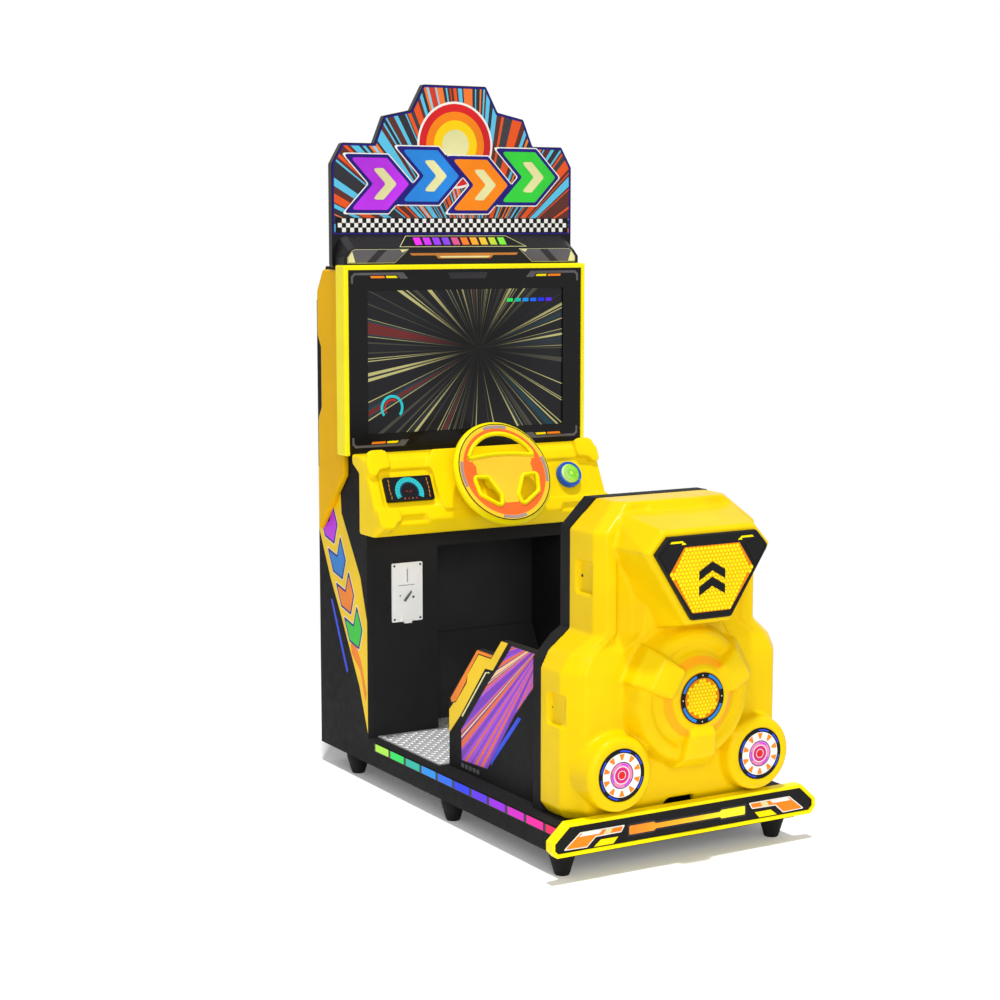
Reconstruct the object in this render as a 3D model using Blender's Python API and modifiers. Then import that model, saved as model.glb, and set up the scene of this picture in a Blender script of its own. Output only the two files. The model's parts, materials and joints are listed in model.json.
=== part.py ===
"""A child's sit-down racing cabinet: platform, screen tower, steering dashboard and moulded seat.

Metres, +Z up. X runs across the cabinet, +Y from the seat to the tower, and the origin is on the floor
below the middle. Each object is one physical piece.
"""

from math import asin, cos, pi, radians, sin

import bmesh
import bpy
from mathutils import Matrix, Vector

# Fits
GAP = 0.0003
BORE_CLEARANCE = 0.0004
CUT_REACH = 0.010

# Platform
BODY_WIDTH = 0.644
REAR_Y = 0.660
FOOT_HEIGHT = 0.053
FOOT_TOP_RADIUS = 0.030
FOOT_SOLE_RADIUS = 0.016
FOOT_ROWS_Y = {"front": -0.512, "middle": -0.015, "rear": 0.499}
DECK_TOP = 0.120
DECK_THICKNESS = 0.018
RAIL_WIDTH = 0.072
LED_HEIGHT = 0.021
LED_THICKNESS = 0.003
LED_SPAN_Y = (-0.548, 0.292)
TREAD_THICKNESS = 0.003
TREAD_HALF_WIDTH = 0.295
TREAD_FRONT_Y = 0.052

# Bumper at the seat end
BUMPER_FRONT_Y = -0.585
BUMPER_THICKNESS = 0.025
BUMPER_TOP = 0.1377
BUMPER_WAIST = (0.078, 0.0995)
BUMPER_BOTTOM = 0.0636
BUMPER_HALF_TOP = 0.3214
BUMPER_HALF_WIDTH = 0.3635
BUMPER_HALF_BOTTOM = 0.350
BUMPER_RIM = 0.008
BUMPER_RECESS = 0.004

# Tower
PANEL = 0.018
TOWER_FRONT_Y = 0.3805
SCREEN_Y = 0.4705
TOWER_TOP = 1.328
TOWER_SHOULDER = TOWER_TOP - 0.091
TOP_REAR_Y = 0.6015
SIDE_STEP_Z = (0.800, 0.845)
FRONT_PANEL_THICKNESS = 0.015
FRONT_PANEL_TOP = 0.685
COVER_THICKNESS = 0.0175
COVER_BOTTOM = 0.795
COVER_FRONT_Y = 0.4745
COVER_REAR_Y = 0.625
COVER_BEVEL = 0.010
REAR_PANEL_THICKNESS = 0.015
REAR_PANEL_INSET = 0.007
DOOR_HALF_WIDTH = 0.220
DOOR_SPAN_Z = (0.340, 1.020)
DOOR_CLEARANCE = 0.002
DOOR_SLOTS = 7
DOOR_SLOT_PITCH = 0.026
HINGE_RADIUS = 0.0028
HINGE_STRAP = 0.030
LOCK_X = 0.190
LOCK_Z = 0.680
LOCK_RADIUS = 0.0095
CAM_LENGTH = 0.045
CAM_HALF_WIDTH = 0.006
INLET_CENTRE = (0.205, 0.200)
INLET_SIZE = (0.050, 0.030)

# Footwell
FOOTWELL_LEFT = -0.116
FOOTWELL_TOP = 0.608
FOOTWELL_BACK_Y = 0.600
LINER_WALL = 0.012
TOE_BOARD_FOOT_Y = 0.4705
TOE_BOARD_TOP = 0.330
TOE_BOARD_THICKNESS = 0.005

# Coin door
COIN_PLATE_X = (-0.252, -0.1635)
COIN_PLATE_Z = (0.4175, 0.571)
COIN_PLATE_THICKNESS = 0.004
COIN_SLOT = (0.0035, 0.034)
COIN_SLOT_Z = 0.538
COIN_LEVER_PIVOT = (-0.214, 0.476)
COIN_LEVER_LENGTH = 0.026
COIN_BODY_MARGIN = 0.006
COIN_BODY_DEPTH = 0.080
COIN_RUN_DEPTH = 0.050

# Screen
LCD_WIDTH = 0.585
LCD_HEIGHT = 0.366
BEZEL_SPAN_Z = (0.850, TOWER_TOP + 0.005)
LCD_CENTRE_Z = (BEZEL_SPAN_Z[0] + BEZEL_SPAN_Z[1]) / 2 - 0.006
BEZEL_WIDTH = BODY_WIDTH + 0.0764
BEZEL_FACE_Y = 0.4195
BEZEL_RIM = 0.012
BEZEL_FLANGE = 0.008
MASK_SETBACK = 0.003
MASK_THICKNESS = 0.006
MONITOR_FRAME = 0.010
MONITOR_BAR_HALF = 0.060
MONITOR_REAR_Y = 0.4750

# Marquee
MARQUEE_FACE_Y = 0.490
MARQUEE_THICKNESS = 0.018
MARQUEE_HALF_WIDTH = BODY_WIDTH / 2 + 0.036
MARQUEE_SHOULDER_Z = TOWER_TOP + 0.259
MARQUEE_PEAK_Z = TOWER_TOP + 0.465
VALANCE_FACE_Y = 0.4395
VALANCE_HALF_WIDTH = BODY_WIDTH / 2 + 0.0275
VALANCE_TOPS = (TOWER_TOP + 0.048, TOWER_TOP + 0.080)
BRACKET_HALF_WIDTH = 0.250
BRACKET_HEIGHT = 0.120
BRACKET_THICKNESS = 0.004

# Dashboard and steering
WHEEL_CENTRE = (0.0, 0.2445, 0.804)
WHEEL_TILT = radians(26.6)
WHEEL_RADIUS = 0.141
WHEEL_STANDOFF = 0.0715
WHEEL_FACE_W = 0.010
SPOKE_DISC_BACK_W = -0.006
FACE_RING = (0.104, 0.131)
HUB_RADIUS = 0.026
SHAFT_RADIUS = 0.010
SHAFT_END_W = -0.165
ENCODER_RADIUS = 0.032
ENCODER_SLOTS = 12
COLUMN_PLATE = ((-0.130, 0.130), (-0.050, 0.045))
DASH_HALF_WIDTH = BODY_WIDTH / 2 + 0.023
DASH_BOTTOM = (0.2945, 0.655)
DASH_FACE_V = (-0.0872, 0.084)
DASH_BACK_Y = 0.3802
DASH_TOP = 0.856
DASH_WALL = 0.013
DASH_BEVEL = 0.010
FIELD_DEPTH = 0.006
MIDDLE_PAD = [
    (-0.150, -0.062), (0.150, -0.062), (0.172, 0.060),
    (0.150, 0.101), (-0.150, 0.101), (-0.172, 0.060),
]
PAD_RISE = 0.007
FIELD_X = (0.160, 0.318)
FIELD_V = (-0.052, 0.054)
GAUGE_X = (-0.306, -0.170)
GAUGE_HALF_HEIGHT = 0.033
GAUGE_THICKNESS = 0.008
BUTTON_X = 0.242
BUTTON_V = 0.0073
BUTTON_RING_RADIUS = 0.035
BUTTON_CAP_RADIUS = 0.0262
BUTTON_TRAVEL = 0.004

# Pedal
PEDAL_PIVOT = (0.432, 0.1415)
PEDAL_X = (0.090, 0.165)
PEDAL_LENGTH = 0.150
PEDAL_ANGLE = radians(70)
PEDAL_THICKNESS = 0.008
PEDAL_PIN_RADIUS = 0.004
EAR_HALF_FOOT = 0.018

# Seat
SEAT_SIDE_X = (0.252, 0.270)
SEAT_FRONT_Y = 0.0425
SEAT_FRONT_TOP = 0.290
SEAT_ARM_Z = (0.433, 0.474)
SEAT_ARM_Y = (-0.0955, -0.169, -0.2115)
SEAT_PAN_TOP = 0.3285
SEAT_PAN_THICKNESS = 0.018
SEAT_RISER_Y = (-0.035, -0.020)
BOARD_FRONT_Y = -0.3835
BOARD_THICKNESS = 0.039
BOARD_HALF_WIDTH = 0.2185
BOARD_TOP = 0.8255
CUSHION_TOP = 0.408
CUSHION_FRONT_Y = -0.078
BACK_PAD_Z = (0.425, 0.790)
BACK_PAD_HALF_WIDTH = 0.190
BACK_PAD_THICKNESS = 0.046

# Moulded seat pod
POD_WALL = 0.030
POD_HALF_WIDTH = 0.295
POD_UPPER_HALF_WIDTH = 0.2205
POD_FRONT_Y = -0.5525
UPPER_POCKET_Z = (0.622, 0.696)
LOWER_POCKET_Z = (0.332, 0.404)
POD_UPPER_FRONT_Y = -0.532
HEAD_FACE_Y = -0.6520
BADGE_THICKNESS = 0.0077
BADGE_TOP = (0.1187, 0.764)
BADGE_WAIST = (0.1525, 0.727)
BADGE_FOOT = (0.0532, 0.575)
BADGE_MARGIN = 0.013
HUB_CENTRE_Z = 0.389
HUB_RING_RADIUS = 0.150
EMBLEM_RADIUS = 0.059
EMBLEM_FACE_Y = -0.6305
BOSS_X = 0.190
BOSS_Z = 0.231
BOSS_RADIUS = 0.085
BOSS_FACE_Y = -0.5955
DISC_RADIUS = 0.060
DISC_THICKNESS = 0.004

# Worked out from the sizes above
HALF_BODY = BODY_WIDTH / 2
INNER_HALF = HALF_BODY - PANEL - GAP
BUMPER_BACK_Y = BUMPER_FRONT_Y + BUMPER_THICKNESS
ON_DECK = DECK_TOP + GAP
REAR_FACE_Y = REAR_Y - REAR_PANEL_INSET
REAR_INNER_Y = REAR_FACE_Y - REAR_PANEL_THICKNESS
BOARD_REAR_Y = BOARD_FRONT_Y - BOARD_THICKNESS
POD_BACK_Y = BOARD_REAR_Y - GAP
DASH_FACE_W = -WHEEL_STANDOFF
FIELD_FLOOR_W = DASH_FACE_W - FIELD_DEPTH
DASH_INNER_W = DASH_FACE_W - DASH_WALL

YELLOW = (0.94, 0.66, 0.01)
BLACK = (0.018, 0.018, 0.019)
DARK = (0.03, 0.03, 0.032)
STEEL = (0.45, 0.45, 0.47)
ALUMINIUM = (0.62, 0.63, 0.65)

PLANES = {
    "XY": Matrix(((1, 0, 0), (0, 1, 0), (0, 0, 1))),
    "XZ": Matrix(((1, 0, 0), (0, 0, -1), (0, 1, 0))),
    "YZ": Matrix(((0, 0, 1), (1, 0, 0), (0, 1, 0))),
}
NORMALS = {"XY": (0, 0, 1), "XZ": (0, 1, 0), "YZ": (1, 0, 0)}


def clear_scene():
    """Remove what a new file starts with."""
    for obj in list(bpy.data.objects):
        bpy.data.objects.remove(obj, do_unlink=True)


def new_collection(name):
    """Make a collection in the scene."""
    collection = bpy.data.collections.new(name)
    bpy.context.scene.collection.children.link(collection)
    return collection


def paint(obj, colour, roughness=0.5, metallic=0.0):
    """Give an object its own material."""
    material = bpy.data.materials.new(obj.name)
    material.use_nodes = True
    shader = material.node_tree.nodes["Principled BSDF"]
    shader.inputs["Base Color"].default_value = (*colour, 1.0)
    shader.inputs["Roughness"].default_value = roughness
    shader.inputs["Metallic"].default_value = metallic
    obj.data.materials.append(material)
    return obj


def place(name, mesh, helper=False):
    """Link a mesh into the scene as a piece, or as a cutter or other helper."""
    obj = bpy.data.objects.new(name, mesh)
    (CUTTERS if helper else PIECES).objects.link(obj)
    obj.hide_render = helper
    obj.display_type = "WIRE" if helper else "TEXTURED"
    return obj


def mesh_from(build, name):
    """Make a mesh from a bmesh and free the bmesh."""
    mesh = bpy.data.meshes.new(name)
    build.to_mesh(mesh)
    build.free()
    return mesh


def box(name, x, y, z, helper=False):
    """A block between two values on each axis."""
    build = bmesh.new()
    bmesh.ops.create_cube(build, size=1.0)
    size = Vector((x[1] - x[0], y[1] - y[0], z[1] - z[0]))
    middle = Vector((x[0] + x[1], y[0] + y[1], z[0] + z[1])) / 2
    matrix = Matrix.Translation(middle) @ Matrix.Diagonal((*size, 1))
    bmesh.ops.transform(build, matrix=matrix, verts=build.verts)
    return place(name, mesh_from(build, name), helper)


def slab(name, outlines, plane, span, helper=False):
    """A flat outline, with any inner outlines as holes, given a thickness along the plane's normal.

    A 2D curve fills the outline. It becomes a mesh whose caps are welded to its sides.
    """
    curve = bpy.data.curves.new(name, "CURVE")
    curve.dimensions = "2D"
    curve.fill_mode = "BOTH"
    curve.extrude = (span[1] - span[0]) / 2
    for outline in outlines:
        spline = curve.splines.new("POLY")
        spline.points.add(len(outline) - 1)
        spline.use_cyclic_u = True
        for point, (u, v) in zip(spline.points, outline):
            point.co = (u, v, 0, 1)
    guide = bpy.data.objects.new(name + "_outline", curve)
    CUTTERS.objects.link(guide)
    bpy.context.view_layer.update()
    evaluated = guide.evaluated_get(bpy.context.evaluated_depsgraph_get())
    mesh = bpy.data.meshes.new_from_object(evaluated)
    bpy.data.objects.remove(guide)
    build = bmesh.new()
    build.from_mesh(mesh)
    bmesh.ops.remove_doubles(build, verts=build.verts, dist=1e-6)
    middle = Vector(NORMALS[plane]) * (span[0] + span[1]) / 2
    turn = Matrix.Translation(middle) @ PLANES[plane].to_4x4()
    bmesh.ops.transform(build, matrix=turn, verts=build.verts)
    bmesh.ops.recalc_face_normals(build, faces=build.faces)
    build.to_mesh(mesh)
    build.free()
    mesh.name = name
    return place(name, mesh, helper)


def turned(name, profile, segments=32, helper=False):
    """A profile of (radius, height) points, from the top down its outer side, turned about local Z."""
    mesh = bpy.data.meshes.new(name)
    points = [(radius, 0, height) for radius, height in profile]
    mesh.from_pydata(points, [(i, i + 1) for i in range(len(points) - 1)], [])
    obj = place(name, mesh, helper)
    screw = obj.modifiers.new("turn", "SCREW")
    screw.steps = screw.render_steps = segments
    screw.use_merge_vertices = True
    screw.merge_threshold = 0.0001
    return obj


def loft(name, sections, helper=False):
    """A closed body through sections that have as many points as each other, with flat ends."""
    build = bmesh.new()
    rings = [[build.verts.new(point) for point in section] for section in sections]
    for low, high in zip(rings, rings[1:]):
        for i in range(len(low)):
            j = (i + 1) % len(low)
            build.faces.new((low[i], low[j], high[j], high[i]))
    build.faces.new(rings[0])
    build.faces.new(rings[-1])
    bmesh.ops.recalc_face_normals(build, faces=build.faces)
    return place(name, mesh_from(build, name), helper)


def boolean(target, tool, operation):
    """Cut a tool from a piece, or join it on."""
    modifier = target.modifiers.new(operation.lower() + "_" + tool.name, "BOOLEAN")
    modifier.operation = operation
    modifier.solver = "EXACT"
    modifier.object = tool
    return target


def cut(target, *tools):
    """Cut each tool from a piece."""
    for tool in tools:
        boolean(target, tool, "DIFFERENCE")
    return target


def join(target, *tools):
    """Join each tool to a piece as one body."""
    for tool in tools:
        boolean(target, tool, "UNION")
    return target


def bevel(obj, width, segments=1, angle=30):
    """Round the edges that turn by more than an angle."""
    modifier = obj.modifiers.new("edges", "BEVEL")
    modifier.width = width
    modifier.segments = segments
    modifier.limit_method = "ANGLE"
    modifier.angle_limit = radians(angle)
    return obj


def smooth(obj, angle=35):
    """Shade a round piece smooth, with its corners kept sharp."""
    obj.data.shade_smooth()
    obj.data.set_sharp_from_angle(angle=radians(angle))
    return obj


def rectangle(u, v):
    """The four corners of a rectangle."""
    return [(u[0], v[0]), (u[1], v[0]), (u[1], v[1]), (u[0], v[1])]


def mirrored(half):
    """An outline from its right half, listed from the bottom up."""
    return half + [(-u, v) for u, v in reversed(half)]


def rounded(points, radius, steps=3):
    """An outline with its corners rounded."""
    result = []
    count = len(points)
    for i in range(count):
        corner = Vector(points[i])
        before = (Vector(points[i - 1]) - corner).normalized()
        after = (Vector(points[(i + 1) % count]) - corner).normalized()
        half = before.angle(after) / 2
        setback = radius / max(sin(half) / max(cos(half), 1e-6), 1e-6)
        start = corner + before * setback
        end = corner + after * setback
        for k in range(steps + 1):
            t = k / steps
            point = start * (1 - t) ** 2 + corner * 2 * t * (1 - t) + end * t**2
            result.append(tuple(point))
    return result


def inset(points, distance):
    """An outline that runs anticlockwise, moved inwards by a distance."""
    result = []
    count = len(points)
    for i in range(count):
        corner = Vector(points[i])
        before = (corner - Vector(points[i - 1])).normalized()
        after = (Vector(points[(i + 1) % count]) - corner).normalized()
        inward = (Vector((-before.y, before.x)) + Vector((-after.y, after.x))).normalized()
        reach = distance / max(inward.dot(Vector((-after.y, after.x))), 1e-6)
        result.append(tuple(corner + inward * reach))
    return result


def circle(radius, centre=(0.0, 0.0), count=32):
    """Points round a circle."""
    turns = [2 * pi * i / count for i in range(count)]
    return [(centre[0] + radius * cos(a), centre[1] + radius * sin(a)) for a in turns]


def arc(radius, start, end, steps):
    """Points along an arc about the origin, angles in radians."""
    turns = [start + (end - start) * i / steps for i in range(steps + 1)]
    return [(radius * cos(a), radius * sin(a)) for a in turns]


def towards_seat(obj, x, y, z):
    """Stand a turned piece with its own +Z axis towards the seat end."""
    obj.location = (x, y, z)
    obj.rotation_euler = (pi / 2, 0, 0)
    return obj


def on_steering_axis(*objects):
    """Put pieces into the tilted frame of the steering wheel: X across, Y up the dash, Z to the driver."""
    for obj in objects:
        obj.parent = STEERING
    return objects[0]


def build_platform():
    """Deck on two rails, six feet, lit strips, the tread plate and the bumper."""
    half_tower = INNER_HALF
    outline = mirrored(
        [
            (HALF_BODY, BUMPER_BACK_Y + GAP),
            (HALF_BODY, TOWER_FRONT_Y - GAP),
            (half_tower, TOWER_FRONT_Y - GAP),
            (half_tower, REAR_INNER_Y - GAP),
        ]
    )
    platform = slab("base_platform", [outline], "XY", (FOOT_HEIGHT, DECK_TOP))
    hollow_half = HALF_BODY - RAIL_WIDTH
    hollow_y = (BUMPER_BACK_Y + RAIL_WIDTH, REAR_INNER_Y - RAIL_WIDTH)
    hollow_z = (FOOT_HEIGHT - 0.01, DECK_TOP - DECK_THICKNESS)
    cut(platform, box("platform_hollow", (-hollow_half, hollow_half), hollow_y, hollow_z, helper=True))
    paint(platform, BLACK, 0.45)
    foot_top = FOOT_HEIGHT - GAP
    foot_profile = [
        (0, foot_top),
        (FOOT_TOP_RADIUS, foot_top),
        (FOOT_TOP_RADIUS, foot_top - 0.008),
        (FOOT_SOLE_RADIUS + 0.002, 0.004),
        (FOOT_SOLE_RADIUS, 0),
        (0, 0),
    ]
    for row, y in FOOT_ROWS_Y.items():
        for side, sign in (("left", -1), ("right", 1)):
            foot = turned(f"foot_{row}_{side}", foot_profile, 16)
            foot.location = (sign * (HALF_BODY - FOOT_TOP_RADIUS), y, 0)
            paint(smooth(foot), DARK, 0.6)
    led_z = (DECK_TOP - 0.004 - LED_HEIGHT, DECK_TOP - 0.004)
    for side, sign in (("left", -1), ("right", 1)):
        face = sorted((sign * (HALF_BODY + GAP), sign * (HALF_BODY + LED_THICKNESS)))
        strip = box(f"led_strip_{side}", face, LED_SPAN_Y, led_z)
        paint(bevel(strip, 0.001), (0.2, 0.5, 0.9), 0.3)
    build_tread()
    build_bumper()


def build_tread():
    """Tread plate from the seat to the tower, which runs on into the footwell, and the toe board there."""
    step_y = TOWER_FRONT_Y - 0.002
    well_left = FOOTWELL_LEFT + LINER_WALL * 0.2
    well_right = INNER_HALF - 0.003
    well_end = TOE_BOARD_FOOT_Y - GAP
    outline = [
        (-TREAD_HALF_WIDTH, TREAD_FRONT_Y),
        (well_right, TREAD_FRONT_Y),
        (well_right, well_end),
        (well_left, well_end),
        (well_left, step_y),
        (-TREAD_HALF_WIDTH, step_y),
    ]
    tread = slab("tread_plate", [outline], "XY", (ON_DECK, ON_DECK + TREAD_THICKNESS))
    paint(tread, ALUMINIUM, 0.35, 1.0)
    top_y = FOOTWELL_BACK_Y - GAP
    profile = [
        (TOE_BOARD_FOOT_Y, ON_DECK),
        (TOE_BOARD_FOOT_Y + TOE_BOARD_THICKNESS, ON_DECK),
        (top_y, TOE_BOARD_TOP),
        (top_y - TOE_BOARD_THICKNESS, TOE_BOARD_TOP),
    ]
    toe = slab("toe_board", [profile], "YZ", (well_left, well_right))
    paint(toe, ALUMINIUM, 0.35, 1.0)


def bumper_outline():
    """Six-sided outline of the bumper, seen from the seat end."""
    return mirrored(
        [
            (BUMPER_HALF_BOTTOM, BUMPER_BOTTOM),
            (BUMPER_HALF_WIDTH, BUMPER_WAIST[0]),
            (BUMPER_HALF_WIDTH, BUMPER_WAIST[1]),
            (BUMPER_HALF_TOP, BUMPER_TOP),
        ]
    )


def build_bumper():
    """Bumper with a raised rim round a shallow recess."""
    outline = bumper_outline()
    bumper = slab("front_bumper", [outline], "XZ", (BUMPER_FRONT_Y, BUMPER_BACK_Y))
    floor = BUMPER_FRONT_Y + BUMPER_RECESS
    reach = (BUMPER_FRONT_Y - CUT_REACH, floor)
    field = slab("bumper_field", [inset(outline, BUMPER_RIM)], "XZ", reach, helper=True)
    paint(cut(bumper, field), YELLOW, 0.3)


def build_tower_sides():
    """Side panels and the moulded covers on their upper halves."""
    outline = [
        (TOWER_FRONT_Y, FOOT_HEIGHT),
        (REAR_Y, FOOT_HEIGHT),
        (REAR_Y, TOWER_SHOULDER),
        (TOP_REAR_Y, TOWER_TOP),
        (SCREEN_Y, TOWER_TOP),
        (SCREEN_Y, SIDE_STEP_Z[1]),
        (TOWER_FRONT_Y, SIDE_STEP_Z[0]),
    ]
    chamfer = (REAR_Y - TOP_REAR_Y) / (TOWER_TOP - TOWER_SHOULDER)
    cover_top = TOWER_TOP - 0.008
    cover_corner = TOP_REAR_Y - 0.012
    shoulder = cover_top - (COVER_REAR_Y - cover_corner) / chamfer
    notch_front = COVER_FRONT_Y + 0.022
    notch_rear = COVER_REAR_Y - 0.020
    cover = [
        (COVER_FRONT_Y, COVER_BOTTOM),
        (COVER_REAR_Y, COVER_BOTTOM - 0.160),
        (COVER_REAR_Y, 0.930),
        (notch_rear, 0.962),
        (notch_rear, 1.118),
        (COVER_REAR_Y, 1.150),
        (COVER_REAR_Y, shoulder),
        (cover_corner, cover_top),
        (COVER_FRONT_Y, cover_top),
        (COVER_FRONT_Y, 1.180),
        (notch_front, 1.150),
        (notch_front, 0.930),
        (COVER_FRONT_Y, 0.895),
    ]
    for side, sign in (("left", -1), ("right", 1)):
        span = sorted((sign * (HALF_BODY - PANEL), sign * HALF_BODY))
        paint(slab(f"tower_side_{side}", [outline], "YZ", span), BLACK, 0.4)
        outside = sorted((sign * (HALF_BODY + GAP), sign * (HALF_BODY + COVER_THICKNESS)))
        piece = slab(f"side_cover_{side}", [cover], "YZ", outside)
        paint(bevel(piece, COVER_BEVEL * 0.5, 2), YELLOW, 0.3)


def build_tower_shell():
    """Front panel, footwell liner, top panel, and the rear panel with its door."""
    across = (-INNER_HALF, INNER_HALF)
    outline = [
        (-INNER_HALF, ON_DECK),
        (FOOTWELL_LEFT, ON_DECK),
        (FOOTWELL_LEFT, FOOTWELL_TOP),
        (INNER_HALF, FOOTWELL_TOP),
        (INNER_HALF, FRONT_PANEL_TOP),
        (-INNER_HALF, FRONT_PANEL_TOP),
    ]
    front_back_y = TOWER_FRONT_Y + FRONT_PANEL_THICKNESS
    coin_x = (COIN_PLATE_X[0] + COIN_BODY_MARGIN - 0.002, COIN_PLATE_X[1] - COIN_BODY_MARGIN + 0.002)
    coin_z = (COIN_PLATE_Z[0] + COIN_BODY_MARGIN - 0.002, COIN_PLATE_Z[1] - COIN_BODY_MARGIN + 0.002)
    front = slab("front_panel", [outline, rectangle(coin_x, coin_z)], "XZ", (TOWER_FRONT_Y, front_back_y))
    paint(front, DARK, 0.4)
    liner_y = (front_back_y + GAP, FOOTWELL_BACK_Y + LINER_WALL)
    liner_z = (ON_DECK, FOOTWELL_TOP + LINER_WALL)
    liner = box("footwell_liner", (FOOTWELL_LEFT - LINER_WALL, INNER_HALF), liner_y, liner_z)
    well_x = (FOOTWELL_LEFT, INNER_HALF + 0.01)
    well = box("footwell", well_x, (liner_y[0] - 0.01, FOOTWELL_BACK_Y), (0, FOOTWELL_TOP), helper=True)
    paint(cut(liner, well), DARK, 0.45)
    skin = REAR_PANEL_THICKNESS
    lid = [
        (SCREEN_Y + GAP, TOWER_TOP - skin),
        (TOP_REAR_Y - skin * 0.55, TOWER_TOP - skin),
        (REAR_Y - skin * 1.2, TOWER_SHOULDER),
        (REAR_Y - 0.001, TOWER_SHOULDER),
        (TOP_REAR_Y, TOWER_TOP - 0.0005),
        (SCREEN_Y + GAP, TOWER_TOP - 0.0005),
    ]
    paint(slab("top_panel", [lid], "YZ", across), BLACK, 0.45)
    build_rear(across)


def build_rear(across):
    """Rear panel, the service door on its hinge, the cam lock and the power inlet."""
    span = (REAR_INNER_Y, REAR_FACE_Y)
    opening = rectangle((-DOOR_HALF_WIDTH, DOOR_HALF_WIDTH), DOOR_SPAN_Z)
    inlet_x = (INLET_CENTRE[0] - INLET_SIZE[0] / 2, INLET_CENTRE[0] + INLET_SIZE[0] / 2)
    inlet_z = (INLET_CENTRE[1] - INLET_SIZE[1] / 2, INLET_CENTRE[1] + INLET_SIZE[1] / 2)
    outline = rectangle(across, (FOOT_HEIGHT, TOWER_SHOULDER - GAP))
    rear = slab("rear_panel", [outline, opening, rectangle(inlet_x, inlet_z)], "XZ", span)
    paint(rear, BLACK, 0.5)
    hinge_x = -DOOR_HALF_WIDTH + DOOR_CLEARANCE / 2
    hinge_y = REAR_FACE_Y + HINGE_RADIUS + GAP
    leaf_x = (-DOOR_HALF_WIDTH + DOOR_CLEARANCE, DOOR_HALF_WIDTH - DOOR_CLEARANCE)
    leaf_z = (DOOR_SPAN_Z[0] + DOOR_CLEARANCE, DOOR_SPAN_Z[1] - DOOR_CLEARANCE)
    holes = [circle(LOCK_RADIUS + BORE_CLEARANCE, (LOCK_X, LOCK_Z), 24)]
    for i in range(DOOR_SLOTS):
        for base in (leaf_z[0] + 0.050, leaf_z[1] - 0.050 - DOOR_SLOT_PITCH * DOOR_SLOTS):
            low = base + DOOR_SLOT_PITCH * i
            holes.append(rectangle((-0.110, 0.110), (low, low + 0.010)))
    door = slab("rear_door", [rectangle(leaf_x, leaf_z), *holes], "XZ", span)
    unit_rod = [(0, 0.5), (HINGE_RADIUS, 0.5), (HINGE_RADIUS, -0.5), (0, -0.5)]
    barrel = turned("door_barrel", unit_rod, 16, helper=True)
    barrel.scale = (1, 1, leaf_z[1] - leaf_z[0])
    barrel.location = (hinge_x, hinge_y, (leaf_z[0] + leaf_z[1]) / 2)
    strap_x = (hinge_x, hinge_x + HINGE_STRAP)
    strap = box("door_strap", strap_x, (REAR_FACE_Y - 0.001, hinge_y), leaf_z, helper=True)
    relief_x = (hinge_x - 0.1, leaf_x[0] + GAP)
    cut(strap, box("strap_relief", relief_x, (0, REAR_FACE_Y + GAP), leaf_z, helper=True))
    paint(join(door, strap, barrel), BLACK, 0.5)
    set_origin(door, (hinge_x, hinge_y, leaf_z[0]))
    lock_face = REAR_FACE_Y + 0.0045
    cam_y = REAR_INNER_Y - 0.004
    profile = [
        (0, 0),
        (LOCK_RADIUS + 0.003, 0),
        (LOCK_RADIUS + 0.003, -0.0042),
        (LOCK_RADIUS, -0.0042),
        (LOCK_RADIUS, cam_y - lock_face),
        (0, cam_y - lock_face),
    ]
    lock = turned("door_lock", profile, 24)
    lock.location = (LOCK_X, lock_face, LOCK_Z)
    lock.rotation_euler = (-pi / 2, 0, 0)
    cam_x = (LOCK_X - 0.006, LOCK_X + 0.006)
    cam_z = (LOCK_Z - CAM_HALF_WIDTH, LOCK_Z + CAM_LENGTH)
    cam = box("lock_cam", cam_x, (cam_y - 0.001, cam_y + 0.002), cam_z, helper=True)
    keyway = box("lock_keyway", (LOCK_X - 0.001, LOCK_X + 0.001), (lock_face - 0.003, lock_face + 0.01),
                 (LOCK_Z - 0.005, LOCK_Z + 0.005), helper=True)
    paint(cut(join(lock, cam), keyway), STEEL, 0.3, 1.0)
    build_inlet(inlet_x, inlet_z)


def build_inlet(inlet_x, inlet_z):
    """Power inlet: a flanged socket through the rear panel, open at the back."""
    body_x = (inlet_x[0] + GAP, inlet_x[1] - GAP)
    body_z = (inlet_z[0] + GAP, inlet_z[1] - GAP)
    inlet = box("power_inlet", body_x, (REAR_INNER_Y - 0.020, REAR_FACE_Y + 0.001), body_z)
    flange_x = (inlet_x[0] - 0.006, inlet_x[1] + 0.006)
    flange_z = (inlet_z[0] - 0.006, inlet_z[1] + 0.006)
    flange = box("inlet_flange", flange_x, (REAR_FACE_Y + GAP, REAR_FACE_Y + 0.003), flange_z, helper=True)
    socket_x = (inlet_x[0] + 0.010, inlet_x[1] - 0.010)
    socket_z = (inlet_z[0] + 0.006, inlet_z[1] - 0.006)
    socket_y = (REAR_INNER_Y - 0.004, REAR_FACE_Y + 0.02)
    socket = box("inlet_socket", socket_x, socket_y, socket_z, helper=True)
    paint(cut(join(inlet, flange), socket), DARK, 0.4)


def set_origin(obj, point):
    """Move an object's origin to a point while its shape stays where it is."""
    obj.data.transform(Matrix.Translation(-Vector(point)))
    obj.location = point


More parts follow.
